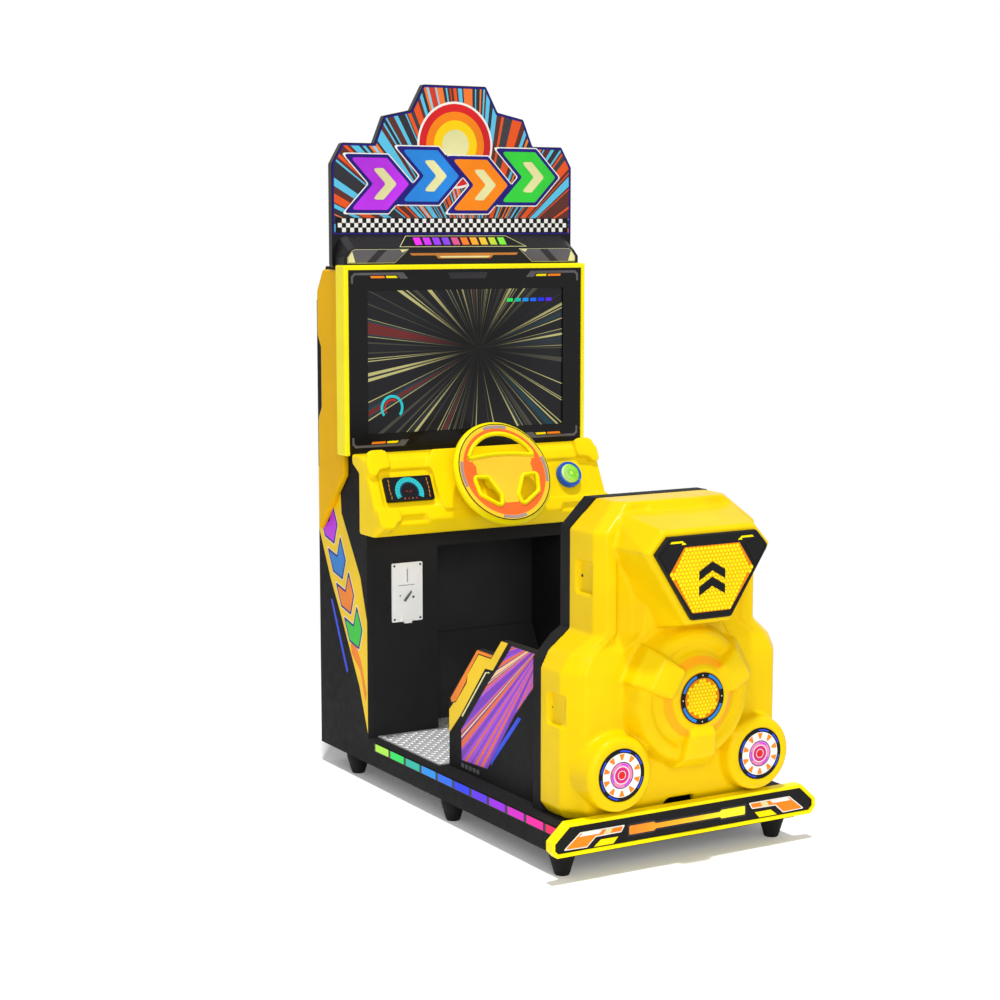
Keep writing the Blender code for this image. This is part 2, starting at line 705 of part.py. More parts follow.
def build_coin_door():
    """Coin plate with its slot and return lever, the acceptor behind it and the coin box below."""
    face_y = TOWER_FRONT_Y - GAP
    span = (face_y - COIN_PLATE_THICKNESS, face_y)
    middle = (COIN_PLATE_X[0] + COIN_PLATE_X[1]) / 2
    slot_x = (middle - COIN_SLOT[0] / 2, middle + COIN_SLOT[0] / 2)
    slot_z = (COIN_SLOT_Z - COIN_SLOT[1] / 2, COIN_SLOT_Z + COIN_SLOT[1] / 2)
    outline = rounded(rectangle(COIN_PLATE_X, COIN_PLATE_Z), 0.003)
    plate = slab("coin_plate", [outline, rectangle(slot_x, slot_z)], "XZ", span)
    lip = box("coin_lip", (middle - 0.010, middle + 0.010), (span[0] - 0.006, span[1]),
              (COIN_PLATE_Z[0] - 0.004, COIN_PLATE_Z[0] + 0.003), helper=True)
    paint(join(plate, lip), (0.85, 0.85, 0.83), 0.35)
    body_x = (COIN_PLATE_X[0] + COIN_BODY_MARGIN, COIN_PLATE_X[1] - COIN_BODY_MARGIN)
    body_z = (COIN_PLATE_Z[0] + COIN_BODY_MARGIN, COIN_PLATE_Z[1] - COIN_BODY_MARGIN)
    body = box("coin_acceptor", body_x, (face_y + GAP, face_y + COIN_BODY_DEPTH), body_z)
    run_y = (face_y - CUT_REACH, face_y + COIN_RUN_DEPTH)
    run = box("coin_run", slot_x, run_y, (body_z[0] + 0.02, slot_z[1]), helper=True)
    paint(cut(body, run), (0.05, 0.05, 0.06), 0.5)
    pivot_x, pivot_z = COIN_LEVER_PIVOT
    rise = radians(50)
    width = 0.0035
    along = Vector((cos(rise), sin(rise)))
    across = Vector((-sin(rise), cos(rise)))
    tip = along * COIN_LEVER_LENGTH
    arm = [tuple(along * -0.006 - across * width), tuple(tip - across * width * 0.6),
           tuple(tip + across * width * 0.6), tuple(along * -0.006 + across * width)]
    lever = slab("coin_return_lever", [rounded(arm, 0.0015)], "XZ", (-0.004, 0))
    lever.location = (pivot_x, span[0] - GAP, pivot_z)
    paint(lever, STEEL, 0.3, 1.0)
    tray_x = (-INNER_HALF + 0.010, FOOTWELL_LEFT - LINER_WALL - 0.010)
    tray_y = (TOWER_FRONT_Y + FRONT_PANEL_THICKNESS + 0.010, REAR_INNER_Y - 0.020)
    tray_z = (ON_DECK, ON_DECK + 0.130)
    tray = box("coin_box", tray_x, tray_y, tray_z)
    wall = 0.003
    inner_x = (tray_x[0] + wall, tray_x[1] - wall)
    inner_y = (tray_y[0] + wall, tray_y[1] - wall)
    inner_z = (tray_z[0] + wall, tray_z[1] + 0.05)
    inner = box("coin_box_inside", inner_x, inner_y, inner_z, helper=True)
    paint(cut(tray, inner), STEEL, 0.4, 1.0)


def build_screen():
    """Bezel rim and mask, monitor and its bracket, and the game computer on the footwell's roof."""
    half = BEZEL_WIDTH / 2
    back_y = SCREEN_Y - GAP
    rim = box("bezel_rim", (-half, half), (BEZEL_FACE_Y, back_y), BEZEL_SPAN_Z)
    pocket_x = (-half + BEZEL_RIM, half - BEZEL_RIM)
    pocket_z = (BEZEL_SPAN_Z[0] + BEZEL_RIM, BEZEL_SPAN_Z[1] - BEZEL_RIM)
    pocket_y = (BEZEL_FACE_Y - 0.02, back_y - BEZEL_FLANGE)
    pocket = box("bezel_pocket", pocket_x, pocket_y, pocket_z, helper=True)
    monitor_half = LCD_WIDTH / 2 + MONITOR_FRAME
    monitor_half = LCD_HEIGHT / 2 + MONITOR_FRAME
    monitor_z = (LCD_CENTRE_Z - monitor_half, LCD_CENTRE_Z + monitor_half)
    window_x = (-monitor_half - 0.0025, monitor_half + 0.0025)
    window_z = (monitor_z[0] - 0.0025, monitor_z[1] + 0.0025)
    window = box("bezel_window", window_x, (BEZEL_FACE_Y, back_y + 0.02), window_z, helper=True)
    bevel(rim, 0.004, 2)
    paint(cut(rim, pocket, window), YELLOW, 0.3)
    mask_y = (BEZEL_FACE_Y + MASK_SETBACK, BEZEL_FACE_Y + MASK_SETBACK + MASK_THICKNESS)
    mask_outline = rectangle((pocket_x[0] + GAP, pocket_x[1] - GAP), (pocket_z[0] + GAP, pocket_z[1] - GAP))
    glass = rectangle((-LCD_WIDTH / 2, LCD_WIDTH / 2),
                      (LCD_CENTRE_Z - LCD_HEIGHT / 2, LCD_CENTRE_Z + LCD_HEIGHT / 2))
    mask = slab("bezel_mask", [mask_outline, glass], "XZ", mask_y)
    paint(mask, BLACK, 0.2)
    monitor = box("monitor", (-monitor_half, monitor_half), (mask_y[1] + GAP, MONITOR_REAR_Y), monitor_z)
    paint(bevel(monitor, 0.002), (0.01, 0.01, 0.012), 0.15)
    bracket_y = (MONITOR_REAR_Y + GAP, MONITOR_REAR_Y + GAP + 0.005)
    bracket_z = (LCD_CENTRE_Z - MONITOR_BAR_HALF, LCD_CENTRE_Z + MONITOR_BAR_HALF)
    bracket = box("monitor_bracket", (-INNER_HALF, INNER_HALF), bracket_y, bracket_z)
    paint(bracket, STEEL, 0.4, 1.0)
    shelf = FOOTWELL_TOP + LINER_WALL + GAP
    depth = (FOOTWELL_BACK_Y - 0.140, FOOTWELL_BACK_Y)
    computer = box("game_computer", (0.020, 0.260), depth, (shelf, shelf + 0.080))
    paint(bevel(computer, 0.003), STEEL, 0.4, 1.0)


def build_marquee():
    """Header board with a stepped crown, the valance below it and the angle bracket behind it."""
    foot = TOWER_TOP + GAP
    rise = MARQUEE_PEAK_Z - MARQUEE_SHOULDER_Z
    step_z = MARQUEE_SHOULDER_Z + rise * 0.26
    outline = mirrored(
        [
            (MARQUEE_HALF_WIDTH, foot),
            (MARQUEE_HALF_WIDTH, MARQUEE_SHOULDER_Z),
            (MARQUEE_HALF_WIDTH - 0.031, step_z),
            (MARQUEE_HALF_WIDTH * 0.66, step_z),
            (MARQUEE_HALF_WIDTH * 0.58, MARQUEE_SHOULDER_Z + rise * 0.60),
            (MARQUEE_HALF_WIDTH * 0.36, MARQUEE_SHOULDER_Z + rise * 0.68),
            (MARQUEE_HALF_WIDTH * 0.26, MARQUEE_PEAK_Z),
        ]
    )
    span = (MARQUEE_FACE_Y, MARQUEE_FACE_Y + MARQUEE_THICKNESS)
    paint(slab("marquee_board", [rounded(outline, 0.006, 2)], "XZ", span), DARK, 0.3)
    low = BEZEL_SPAN_Z[1] + GAP
    sections = []
    for y, top in zip((VALANCE_FACE_Y, MARQUEE_FACE_Y - GAP), VALANCE_TOPS):
        half = [
            (VALANCE_HALF_WIDTH, low),
            (VALANCE_HALF_WIDTH, low + 0.018),
            (VALANCE_HALF_WIDTH - 0.0125, top - 0.008),
            (VALANCE_HALF_WIDTH - 0.030, top),
        ]
        sections.append([(u, y, v) for u, v in mirrored(half)])
    paint(loft("marquee_valance", sections), BLACK, 0.3)
    near = span[1] + GAP
    angle = [
        (near, foot),
        (TOP_REAR_Y - 0.020, foot),
        (TOP_REAR_Y - 0.020, foot + BRACKET_THICKNESS),
        (near + BRACKET_THICKNESS, foot + BRACKET_THICKNESS),
        (near + BRACKET_THICKNESS, foot + BRACKET_HEIGHT),
        (near, foot + BRACKET_HEIGHT),
    ]
    bracket = slab("marquee_bracket", [angle], "YZ", (-BRACKET_HALF_WIDTH, BRACKET_HALF_WIDTH))
    paint(bracket, STEEL, 0.4, 1.0)


def dash_point(v, w=None):
    """World (y, z) of a point on the steering frame's middle plane."""
    w = DASH_FACE_W if w is None else w
    y = WHEEL_CENTRE[1] + v * sin(WHEEL_TILT) - w * cos(WHEEL_TILT)
    z = WHEEL_CENTRE[2] + v * cos(WHEEL_TILT) + w * sin(WHEEL_TILT)
    return y, z


def build_dash():
    """Moulded dashboard: tilted face, corner bosses, recessed fields, hollow behind."""
    back_top_y = BEZEL_FACE_Y - GAP * 2
    face_low, face_top = (dash_point(v) for v in DASH_FACE_V)
    profile = [
        DASH_BOTTOM,
        (DASH_BACK_Y, DASH_BOTTOM[1]),
        (DASH_BACK_Y, SIDE_STEP_Z[0] + DASH_BEVEL),
        (back_top_y, SIDE_STEP_Z[0] + DASH_BEVEL + 0.022),
        (back_top_y, DASH_TOP),
        (face_top[0] + 0.018, DASH_TOP),
        face_top,
        face_low,
    ]
    dash = slab("dash_shell", [profile], "YZ", (-DASH_HALF_WIDTH, DASH_HALF_WIDTH))
    bevel(dash, DASH_BEVEL, 2)
    join(dash, *dash_bosses())
    hollow = slab("dash_hollow", [inset(profile, DASH_WALL)], "YZ",
                  (-DASH_HALF_WIDTH + DASH_WALL, DASH_HALF_WIDTH - DASH_WALL), helper=True)
    back_half = INNER_HALF - 0.012
    back_y = (DASH_BACK_Y - DASH_WALL - CUT_REACH, DASH_BACK_Y + 0.03)
    back_z = (DASH_BOTTOM[1] + 0.014, SIDE_STEP_Z[0] - 0.008)
    back = box("dash_back", (-back_half, back_half), back_y, back_z, helper=True)
    cut(dash, hollow, back)
    for sign in (-1, 1):
        x = sorted((sign * FIELD_X[0], sign * FIELD_X[1]))
        outline = rounded(rectangle(x, FIELD_V), 0.018)
        reach = (FIELD_FLOOR_W, DASH_FACE_W + 0.02)
        field = slab(f"dash_field_{sign}", [outline], "XY", reach, helper=True)
        scoop = slab(f"dash_scoop_{sign}", [rounded([(x[0] + 0.02, -0.115), (x[1] - 0.02, -0.115),
                     (x[1] - 0.045, -0.070), (x[0] + 0.045, -0.070)], 0.006)], "XY",
                     (DASH_FACE_W - 0.010, DASH_FACE_W + 0.02), helper=True)
        on_steering_axis(field, scoop)
        cut(dash, field, scoop)
    clear = circle(HUB_RADIUS * 0.6, count=24)
    hole = slab("shaft_hole", [clear], "XY", (DASH_INNER_W - 0.02, 0.01), helper=True)
    stem = slab("button_hole", [circle(0.0125, (BUTTON_X, BUTTON_V), 20)], "XY",
                (DASH_INNER_W - 0.02, 0.01), helper=True)
    on_steering_axis(hole, stem)
    paint(cut(dash, hole, stem), YELLOW, 0.3)


def dash_bosses():
    """Rounded bosses at the four corners of the face, and the raised middle of the top edge."""
    made = []
    for sign in (-1, 1):
        for name, v in (("upper", (0.052, 0.106)), ("lower", (-0.090, -0.052))):
            x = sorted((sign * 0.279, sign * 0.338))
            boss = slab(f"dash_boss_{name}_{sign}", [rounded(rectangle(x, v), 0.016)], "XY",
                        (DASH_FACE_W - 0.030, DASH_FACE_W + 0.011), helper=True)
            made.append(bevel(boss, 0.005, 2))
    pad_w = (DASH_FACE_W - 0.020, DASH_FACE_W + PAD_RISE)
    middle = slab("dash_pad", [rounded(MIDDLE_PAD, 0.010)], "XY", pad_w, helper=True)
    made.append(bevel(middle, 0.004, 2))
    on_steering_axis(*made)
    return made


def build_controls():
    """Gauge display and start button on the dash."""
    outline = rounded(rectangle(GAUGE_X, (-GAUGE_HALF_HEIGHT, GAUGE_HALF_HEIGHT)), 0.006)
    low = FIELD_FLOOR_W + GAP
    gauge = slab("gauge_display", [outline], "XY", (low, low + GAUGE_THICKNESS))
    paint(on_steering_axis(bevel(gauge, 0.0015)), BLACK, 0.15)
    floor = low + 0.003
    ring_top = low + 0.0155
    bore = BUTTON_CAP_RADIUS + BORE_CLEARANCE
    ring = turned(
        "start_button_ring",
        [
            (0, floor),
            (bore, floor),
            (bore, ring_top - 0.001),
            (bore + 0.002, ring_top),
            (BUTTON_RING_RADIUS - 0.003, ring_top),
            (BUTTON_RING_RADIUS, ring_top - 0.004),
            (BUTTON_RING_RADIUS, low),
            (0.012, low),
            (0.012, DASH_INNER_W - 0.012),
            (0, DASH_INNER_W - 0.012),
        ],
        32,
    )
    cap_low = floor + BUTTON_TRAVEL + 0.001
    cap = turned(
        "start_button_cap",
        [
            (0, ring_top + 0.006),
            (BUTTON_CAP_RADIUS * 0.6, ring_top + 0.0055),
            (BUTTON_CAP_RADIUS * 0.9, ring_top + 0.004),
            (BUTTON_CAP_RADIUS, ring_top + 0.001),
            (BUTTON_CAP_RADIUS, cap_low),
            (0, cap_low),
        ],
        32,
    )
    for piece in (ring, cap):
        on_steering_axis(smooth(piece))
        piece.location = (BUTTON_X, BUTTON_V, 0)
    paint(ring, (0.02, 0.10, 0.45), 0.25)
    paint(cap, (0.55, 0.75, 0.05), 0.3)


def build_steering():
    """Moulded wheel with three openings, its face ring and shaft, and what holds it behind the dash."""
    r = WHEEL_RADIUS
    profile = [
        (0, WHEEL_FACE_W),
        (r * 0.935, WHEEL_FACE_W),
        (r * 0.985, 0.005),
        (r, -0.002),
        (r * 0.98, -0.010),
        (r * 0.92, -0.014),
        (r * 0.80, -0.012),
        (r * 0.77, SPOKE_DISC_BACK_W),
        (HUB_RADIUS + 0.006, SPOKE_DISC_BACK_W),
        (HUB_RADIUS, -0.012),
        (HUB_RADIUS - 0.002, DASH_FACE_W + 0.010),
        (0, DASH_FACE_W + 0.010),
    ]
    wheel = turned("steering_wheel", profile, 48)
    reach = (-0.03, 0.03)
    chord = 0.037
    outer = r * 0.76
    start = asin(chord / outer)
    bow = rounded(arc(outer, start, pi - start, 10), 0.008, 2)
    crescent = slab("grip_upper", [bow], "XY", reach, helper=True)
    openings = [crescent]
    for sign in (-1, 1):
        corners = [(0.050, -0.012), (0.094, -0.008), (0.086, -0.058), (0.030, -0.094), (0.024, -0.062)]
        outline = [(sign * u, v) for u, v in corners]
        opening = slab(f"grip_lower_{sign}", [rounded(outline, 0.009)], "XY", reach, helper=True)
        openings.append(opening)
    bore_end = -0.020
    seat = circle(SHAFT_RADIUS + BORE_CLEARANCE, count=24)
    bore = slab("wheel_bore", [seat], "XY", (-0.1, bore_end), helper=True)
    on_steering_axis(wheel, bore, *openings)
    paint(smooth(cut(wheel, bore, *openings)), YELLOW, 0.3)
    rings = [circle(FACE_RING[1], count=48), circle(FACE_RING[0] + 0.005, count=48)]
    face = slab("wheel_face", rings, "XY", (WHEEL_FACE_W + GAP, WHEEL_FACE_W + 0.002))
    paint(on_steering_axis(face), (0.95, 0.20, 0.03), 0.35)
    top = bore_end - GAP
    rod = [(0, top), (SHAFT_RADIUS, top), (SHAFT_RADIUS, SHAFT_END_W), (0, SHAFT_END_W)]
    shaft = turned("steering_shaft", rod, 24)
    paint(smooth(on_steering_axis(shaft)), STEEL, 0.25, 1.0)
    build_column()


def build_column():
    """Bracket inside the dash, bearing housing, slotted encoder disc and the fork sensor round its edge."""
    plate_w = (DASH_INNER_W - GAP - 0.006, DASH_INNER_W - GAP)
    clear = SHAFT_RADIUS + 0.004
    outlines = [rounded(rectangle(*COLUMN_PLATE), 0.008), circle(clear, count=24)]
    plate = slab("column_bracket", outlines, "XY", plate_w)
    paint(on_steering_axis(plate), STEEL, 0.4, 1.0)
    top = plate_w[0] - GAP
    bore = SHAFT_RADIUS + BORE_CLEARANCE
    housing = turned(
        "bearing_housing",
        [
            (bore, top),
            (0.040, top),
            (0.040, top - 0.008),
            (0.0245, top - 0.008),
            (0.022, top - 0.042),
            (bore, top - 0.042),
            (bore, top),
        ],
        32,
    )
    paint(smooth(on_steering_axis(housing)), (0.2, 0.2, 0.22), 0.5, 1.0)
    disc_w = (top - 0.0515, top - 0.0500)
    outlines = [circle(ENCODER_RADIUS, count=48), circle(SHAFT_RADIUS + GAP, count=24)]
    for i in range(ENCODER_SLOTS):
        turn = 2 * pi * i / ENCODER_SLOTS
        slot = rectangle((ENCODER_RADIUS - 0.009, ENCODER_RADIUS - 0.003), (-0.002, 0.002))
        outlines.append([(u * cos(turn) - v * sin(turn), u * sin(turn) + v * cos(turn)) for u, v in slot])
    disc = slab("encoder_disc", outlines, "XY", disc_w)
    paint(on_steering_axis(disc), BLACK, 0.4)
    fork_w = (disc_w[0] - 0.007, top - 0.008 - GAP)
    fork = box("encoder_sensor", (0.0255, ENCODER_RADIUS + 0.014), (-0.010, 0.010), fork_w)
    slot_w = (disc_w[0] - 0.002, disc_w[1] + 0.002)
    slot = box("sensor_slot", (0.01, ENCODER_RADIUS + 0.002), (-0.02, 0.02), slot_w, helper=True)
    on_steering_axis(fork, slot)
    paint(cut(fork, slot), DARK, 0.5)


def build_pedal():
    """Floor pedal on a pin between two ears."""
    pivot_y, pivot_z = PEDAL_PIVOT
    floor = ON_DECK + TREAD_THICKNESS + GAP
    ear = 0.005
    side_gap = 0.001
    ear_x = (PEDAL_X[0] - side_gap - ear, PEDAL_X[1] + side_gap + ear)
    bracket = box("pedal_bracket", ear_x, (pivot_y - 0.022, pivot_y + 0.022), (floor, floor + 0.004))
    ear_foot, ear_top = floor + 0.001, pivot_z + 0.008
    ear_outline = [
        (pivot_y - EAR_HALF_FOOT, ear_foot),
        (pivot_y + EAR_HALF_FOOT, ear_foot),
        (pivot_y + EAR_HALF_FOOT / 2, ear_top),
        (pivot_y - EAR_HALF_FOOT / 2, ear_top),
    ]
    ears = []
    for name, x in (("left", ear_x[0]), ("right", ear_x[1] - ear)):
        ears.append(slab(f"pedal_ear_{name}", [ear_outline], "YZ", (x, x + ear), helper=True))
    pin = slab("pedal_pin", [circle(PEDAL_PIN_RADIUS, (pivot_y, pivot_z), 16)], "YZ",
               (ear_x[0] + 0.001, ear_x[1] - 0.001), helper=True)
    paint(join(bracket, *ears, pin), STEEL, 0.4, 1.0)
    across = (PEDAL_X[1] - PEDAL_X[0]) / 2
    half = PEDAL_THICKNESS / 2
    arm = [(0, -half), (PEDAL_LENGTH, -half), (PEDAL_LENGTH, half), (0, half)]
    pedal = slab("accelerator_pedal", [arm], "YZ", (-across, across))
    knuckle = slab("pedal_knuckle", [circle(0.0085, count=20)], "YZ", (-across, across), helper=True)
    seat = circle(PEDAL_PIN_RADIUS + BORE_CLEARANCE, count=16)
    bore = slab("pedal_bore", [seat], "YZ", (-0.1, 0.1), helper=True)
    for piece in (pedal, knuckle, bore):
        piece.location = ((PEDAL_X[0] + PEDAL_X[1]) / 2, pivot_y, pivot_z)
        piece.rotation_euler = (PEDAL_ANGLE, 0, 0)
    paint(cut(join(pedal, knuckle), bore), ALUMINIUM, 0.35, 1.0)


def cushion(name, x, y, z, crown_axis, crown):
    """A crowned pad whose sides draw in between its corners."""
    size = Vector((x[1] - x[0], y[1] - y[0], z[1] - z[0]))
    middle = Vector((x[0] + x[1], y[0] + y[1], z[0] + z[1])) / 2
    build = bmesh.new()
    bmesh.ops.create_cube(build, size=2.0)
    bmesh.ops.subdivide_edges(build, edges=build.edges, cuts=5, use_grid_fill=True)
    normal = "XYZ".index(crown_axis[-1])
    sign = -1 if crown_axis[0] == "-" else 1
    flat = [axis for axis in range(3) if axis != normal]
    for vert in build.verts:
        place_in = vert.co.copy()
        bulge = (1 - place_in[flat[0]] ** 2) * (1 - place_in[flat[1]] ** 2)
        for axis in flat:
            other = flat[1] if axis == flat[0] else flat[0]
            draw = 0.012 * (1 - place_in[other] ** 2) * abs(place_in[normal] * sign + 1) / 2
            vert.co[axis] = place_in[axis] * (size[axis] / 2 - draw)
        depth = size[normal] / 2
        top = sign * place_in[normal] > -0.99
        shift = crown * (bulge - 1) * (place_in[normal] * sign + 1) / 2 if top else 0
        vert.co[normal] = place_in[normal] * depth + sign * shift
    bmesh.ops.translate(build, vec=middle, verts=build.verts)
    pad = place(name, mesh_from(build, name))
    soft = pad.modifiers.new("soft", "SUBSURF")
    soft.levels = soft.render_levels = 1
    return smooth(pad, 80)


def seat_outline(half_width, upper, top_half, top, low):
    """Outline of the back board and the pod: wide wings below, narrower above, cut corners on top."""
    return mirrored(
        [
            (half_width, low),
            (half_width, 0.470),
            (upper + 0.026, 0.5185),
            (upper, 0.535),
            (upper, top - 0.062),
            (top_half, top),
        ]
    )


def build_seat():
    """Seat box with its two sides, riser and pan, the padded cushions and the back board."""
    arm_low, arm_high = SEAT_ARM_Z
    rear_y = BOARD_FRONT_Y + GAP
    outline = [
        (rear_y, ON_DECK),
        (SEAT_FRONT_Y, ON_DECK),
        (SEAT_FRONT_Y, SEAT_FRONT_TOP),
        (SEAT_ARM_Y[0], arm_low),
        (SEAT_ARM_Y[1], arm_low),
        (SEAT_ARM_Y[2], arm_high),
        (rear_y, arm_high),
    ]
    for side, sign in (("left", -1), ("right", 1)):
        span = sorted(sign * x for x in SEAT_SIDE_X)
        paint(slab(f"seat_side_{side}", [outline], "YZ", span), BLACK, 0.4)
    inner = SEAT_SIDE_X[0] - GAP
    pan_low = SEAT_PAN_TOP - SEAT_PAN_THICKNESS
    riser = box("seat_riser", (-inner, inner), SEAT_RISER_Y, (ON_DECK, pan_low - GAP))
    paint(riser, BLACK, 0.5)
    pan = box("seat_pan", (-inner, inner), (rear_y, SEAT_RISER_Y[1]), (pan_low, SEAT_PAN_TOP))
    paint(pan, BLACK, 0.5)
    seat = cushion("seat_cushion", (-inner + 0.003, inner - 0.003), (rear_y + 0.001, CUSHION_FRONT_Y),
                   (SEAT_PAN_TOP + GAP, CUSHION_TOP), "+Z", 0.018)
    paint(seat, (0.02, 0.02, 0.022), 0.5)
    back = cushion("back_cushion", (-BACK_PAD_HALF_WIDTH, BACK_PAD_HALF_WIDTH),
                   (rear_y, rear_y + BACK_PAD_THICKNESS), BACK_PAD_Z, "+Y", 0.014)
    paint(back, (0.02, 0.02, 0.022), 0.5)
    board = seat_outline(POD_HALF_WIDTH - 0.005, BOARD_HALF_WIDTH, 0.156, BOARD_TOP, ON_DECK)
    paint(slab("seat_back_board", [board], "XZ", (BOARD_REAR_Y, BOARD_FRONT_Y)), BLACK, 0.5)


def pod_section(z, half, depth, front_half, front_y):
    """Plan section of the pod at a height: straight flanks, a chamfer, then the front."""
    half_points = [
        (front_half, front_y),
        (half - 0.022, POD_BACK_Y - depth - 0.030),
        (half, POD_BACK_Y - depth),
        (half, POD_BACK_Y),
    ]
    return [(u, v, z) for u, v in mirrored(half_points)]


def badge_outline(grow=0.0):
    """Six-sided badge, grown evenly for the block round it."""
    return inset(
        mirrored([BADGE_FOOT, BADGE_WAIST, BADGE_TOP]),
        -grow,
    )


def build_pod():
    """Moulded pod behind the seat back: wings, upper body, badge block, clamped hub and two bosses."""
    wide = (POD_HALF_WIDTH, 0.056, 0.245, POD_FRONT_Y)
    slim = (POD_UPPER_HALF_WIDTH, 0.062, 0.165, POD_UPPER_FRONT_Y)
    sections = [
        pod_section(ON_DECK, POD_HALF_WIDTH - 0.020, 0.046, 0.225, POD_FRONT_Y + 0.014),
        pod_section(ON_DECK + 0.026, *wide),
        pod_section(0.455, *wide),
        pod_section(0.492, POD_HALF_WIDTH - 0.020, 0.060, 0.225, POD_FRONT_Y + 0.004),
        pod_section(0.535, *slim),
        pod_section(0.762, *slim),
        pod_section(BOARD_TOP, 0.150, 0.050, 0.120, POD_UPPER_FRONT_Y + 0.026),
    ]
    pod = loft("seat_pod", sections)
    join(pod, pod_head(), pod_hub(), *pod_clamps(), *pod_bosses())
    cut(pod, *pod_cuts())
    paint(pod, YELLOW, 0.28)


def pod_head():
    """Block that carries the badge, its top sloping down from the pod's crown."""
    front = badge_outline(BADGE_MARGIN)
    lip = badge_outline(BADGE_MARGIN - 0.007)
    back = mirrored([(0.098, 0.530), (0.192, 0.730), (0.160, 0.815)])
    layers = [(back, POD_UPPER_FRONT_Y + 0.050), (front, HEAD_FACE_Y + 0.008), (lip, HEAD_FACE_Y)]
    return loft("pod_head", [[(u, y, v) for u, v in outline] for outline, y in layers], helper=True)


def pod_hub():
    """Turned hub with a dished ring and a seat for the emblem."""
    ring = HUB_RING_RADIUS
    face = -EMBLEM_FACE_Y
    profile = [
        (0, face - DISC_THICKNESS),
        (EMBLEM_RADIUS + GAP, face - DISC_THICKNESS),
        (EMBLEM_RADIUS + GAP, face),
        (EMBLEM_RADIUS + 0.009, face + 0.001),
        (EMBLEM_RADIUS + 0.016, face - 0.004),
        (ring * 0.66, face - 0.020),
        (ring * 0.70, face - 0.028),
        (ring * 0.78, face - 0.028),
        (ring * 0.82, face - 0.022),
        (ring * 0.95, face - 0.026),
        (ring, face - 0.034),
        (ring * 1.10, face - 0.075),
        (ring * 1.12, 0.520),
        (0, 0.520),
    ]
    return towards_seat(turned("pod_hub", profile, 40, helper=True), 0, 0, HUB_CENTRE_Z)


def pod_clamps():
    """Three wedge clamps over the hub ring, at ten, two and six o'clock."""
    made = []
    inner = EMBLEM_RADIUS + 0.013
    outer = HUB_RING_RADIUS * 1.09
    face = EMBLEM_FACE_Y - 0.011
    for name, turn in (("left", radians(150)), ("right", radians(30)), ("low", radians(270))):
        along = Vector((cos(turn), 0, sin(turn)))
        across = Vector((-sin(turn), 0, cos(turn)))
        centre = Vector((0, 0, HUB_CENTRE_Z))
        sections = []
        for reach, half, front in ((inner, 0.036, face + 0.006), (inner + 0.010, 0.037, face),
                                   (outer - 0.030, 0.044, face + 0.012), (outer, 0.048, face + 0.050)):
            here = centre + along * reach
            deep = POD_FRONT_Y + 0.020
            corners = ((half, deep), (half, front + 0.006), (half - 0.006, front),
                       (-half + 0.006, front), (-half, front + 0.006), (-half, deep))
            sections.append([here + across * side + Vector((0, y, 0)) for side, y in corners])
        made.append(loft(f"pod_clamp_{name}", sections, helper=True))
    return made


def pod_bosses():
    """Round bosses low on each side, with a shallow seat for the disc."""
    made = []
    face = -BOSS_FACE_Y
    profile = [
        (0, face - DISC_THICKNESS),
        (DISC_RADIUS + GAP, face - DISC_THICKNESS),
        (DISC_RADIUS + GAP, face),
        (BOSS_RADIUS - 0.010, face),
        (BOSS_RADIUS, face - 0.008),
        (BOSS_RADIUS + 0.007, 0.520),
        (0, 0.520),
    ]
    for side, sign in (("left", -1), ("right", 1)):
        boss = turned(f"pod_boss_{side}", profile, 32, helper=True)
        made.append(towards_seat(boss, sign * BOSS_X, 0, BOSS_Z))
    return made


def pod_cuts():
    """Hollow from the back, screw pockets in the flanks and the notch in the foot."""
    hollow = inset(seat_outline(POD_HALF_WIDTH, POD_UPPER_HALF_WIDTH, 0.150, BOARD_TOP, ON_DECK), POD_WALL)
    cuts = [slab("pod_hollow", [hollow], "XZ", (POD_BACK_Y - 0.055, POD_BACK_Y + 0.02), helper=True)]
    for sign in (-1, 1):
        for name, half, z in (
            ("upper", POD_UPPER_HALF_WIDTH, UPPER_POCKET_Z),
            ("lower", POD_HALF_WIDTH, LOWER_POCKET_Z),
        ):
            x = sorted((sign * (half - 0.012), sign * (half + 0.05)))
            y = (POD_BACK_Y - 0.092, POD_BACK_Y - 0.028)
            cuts.append(box(f"pod_pocket_{name}_{sign}", x, y, z, helper=True))
    notch = mirrored([(0.050, ON_DECK - 0.01), (0.036, ON_DECK + 0.026)])
    cuts.append(slab("pod_notch", [notch], "XZ", (POD_FRONT_Y - 0.05, POD_FRONT_Y + 0.040), helper=True))
    return cuts


def build_pod_trim():
    """Badge plate, hub emblem and the two round discs."""
    seat_y = HEAD_FACE_Y - GAP
    badge = slab("badge_plate", [badge_outline()], "XZ", (seat_y - BADGE_THICKNESS, seat_y))
    paint(bevel(badge, 0.0015), BLACK, 0.25)
    emblem = slab("hub_emblem", [circle(EMBLEM_RADIUS, (0, HUB_CENTRE_Z), 40)], "XZ",
                  (EMBLEM_FACE_Y, EMBLEM_FACE_Y + DISC_THICKNESS - GAP))
    paint(emblem, (0.9, 0.55, 0.02), 0.3)
    for side, sign in (("left", -1), ("right", 1)):
        disc = slab(f"disc_{side}", [circle(DISC_RADIUS, (sign * BOSS_X, BOSS_Z), 40)], "XZ",
                    (BOSS_FACE_Y, BOSS_FACE_Y + DISC_THICKNESS - GAP))
        paint(disc, (0.8, 0.78, 0.72), 0.3)


clear_scene()
PIECES = new_collection("racing_cabinet")
CUTTERS = new_collection("cutters")
STEERING = bpy.data.objects.new("steering_axis", None)
PIECES.objects.link(STEERING)
STEERING.location = WHEEL_CENTRE
STEERING.rotation_euler = (pi / 2 - WHEEL_TILT, 0, 0)

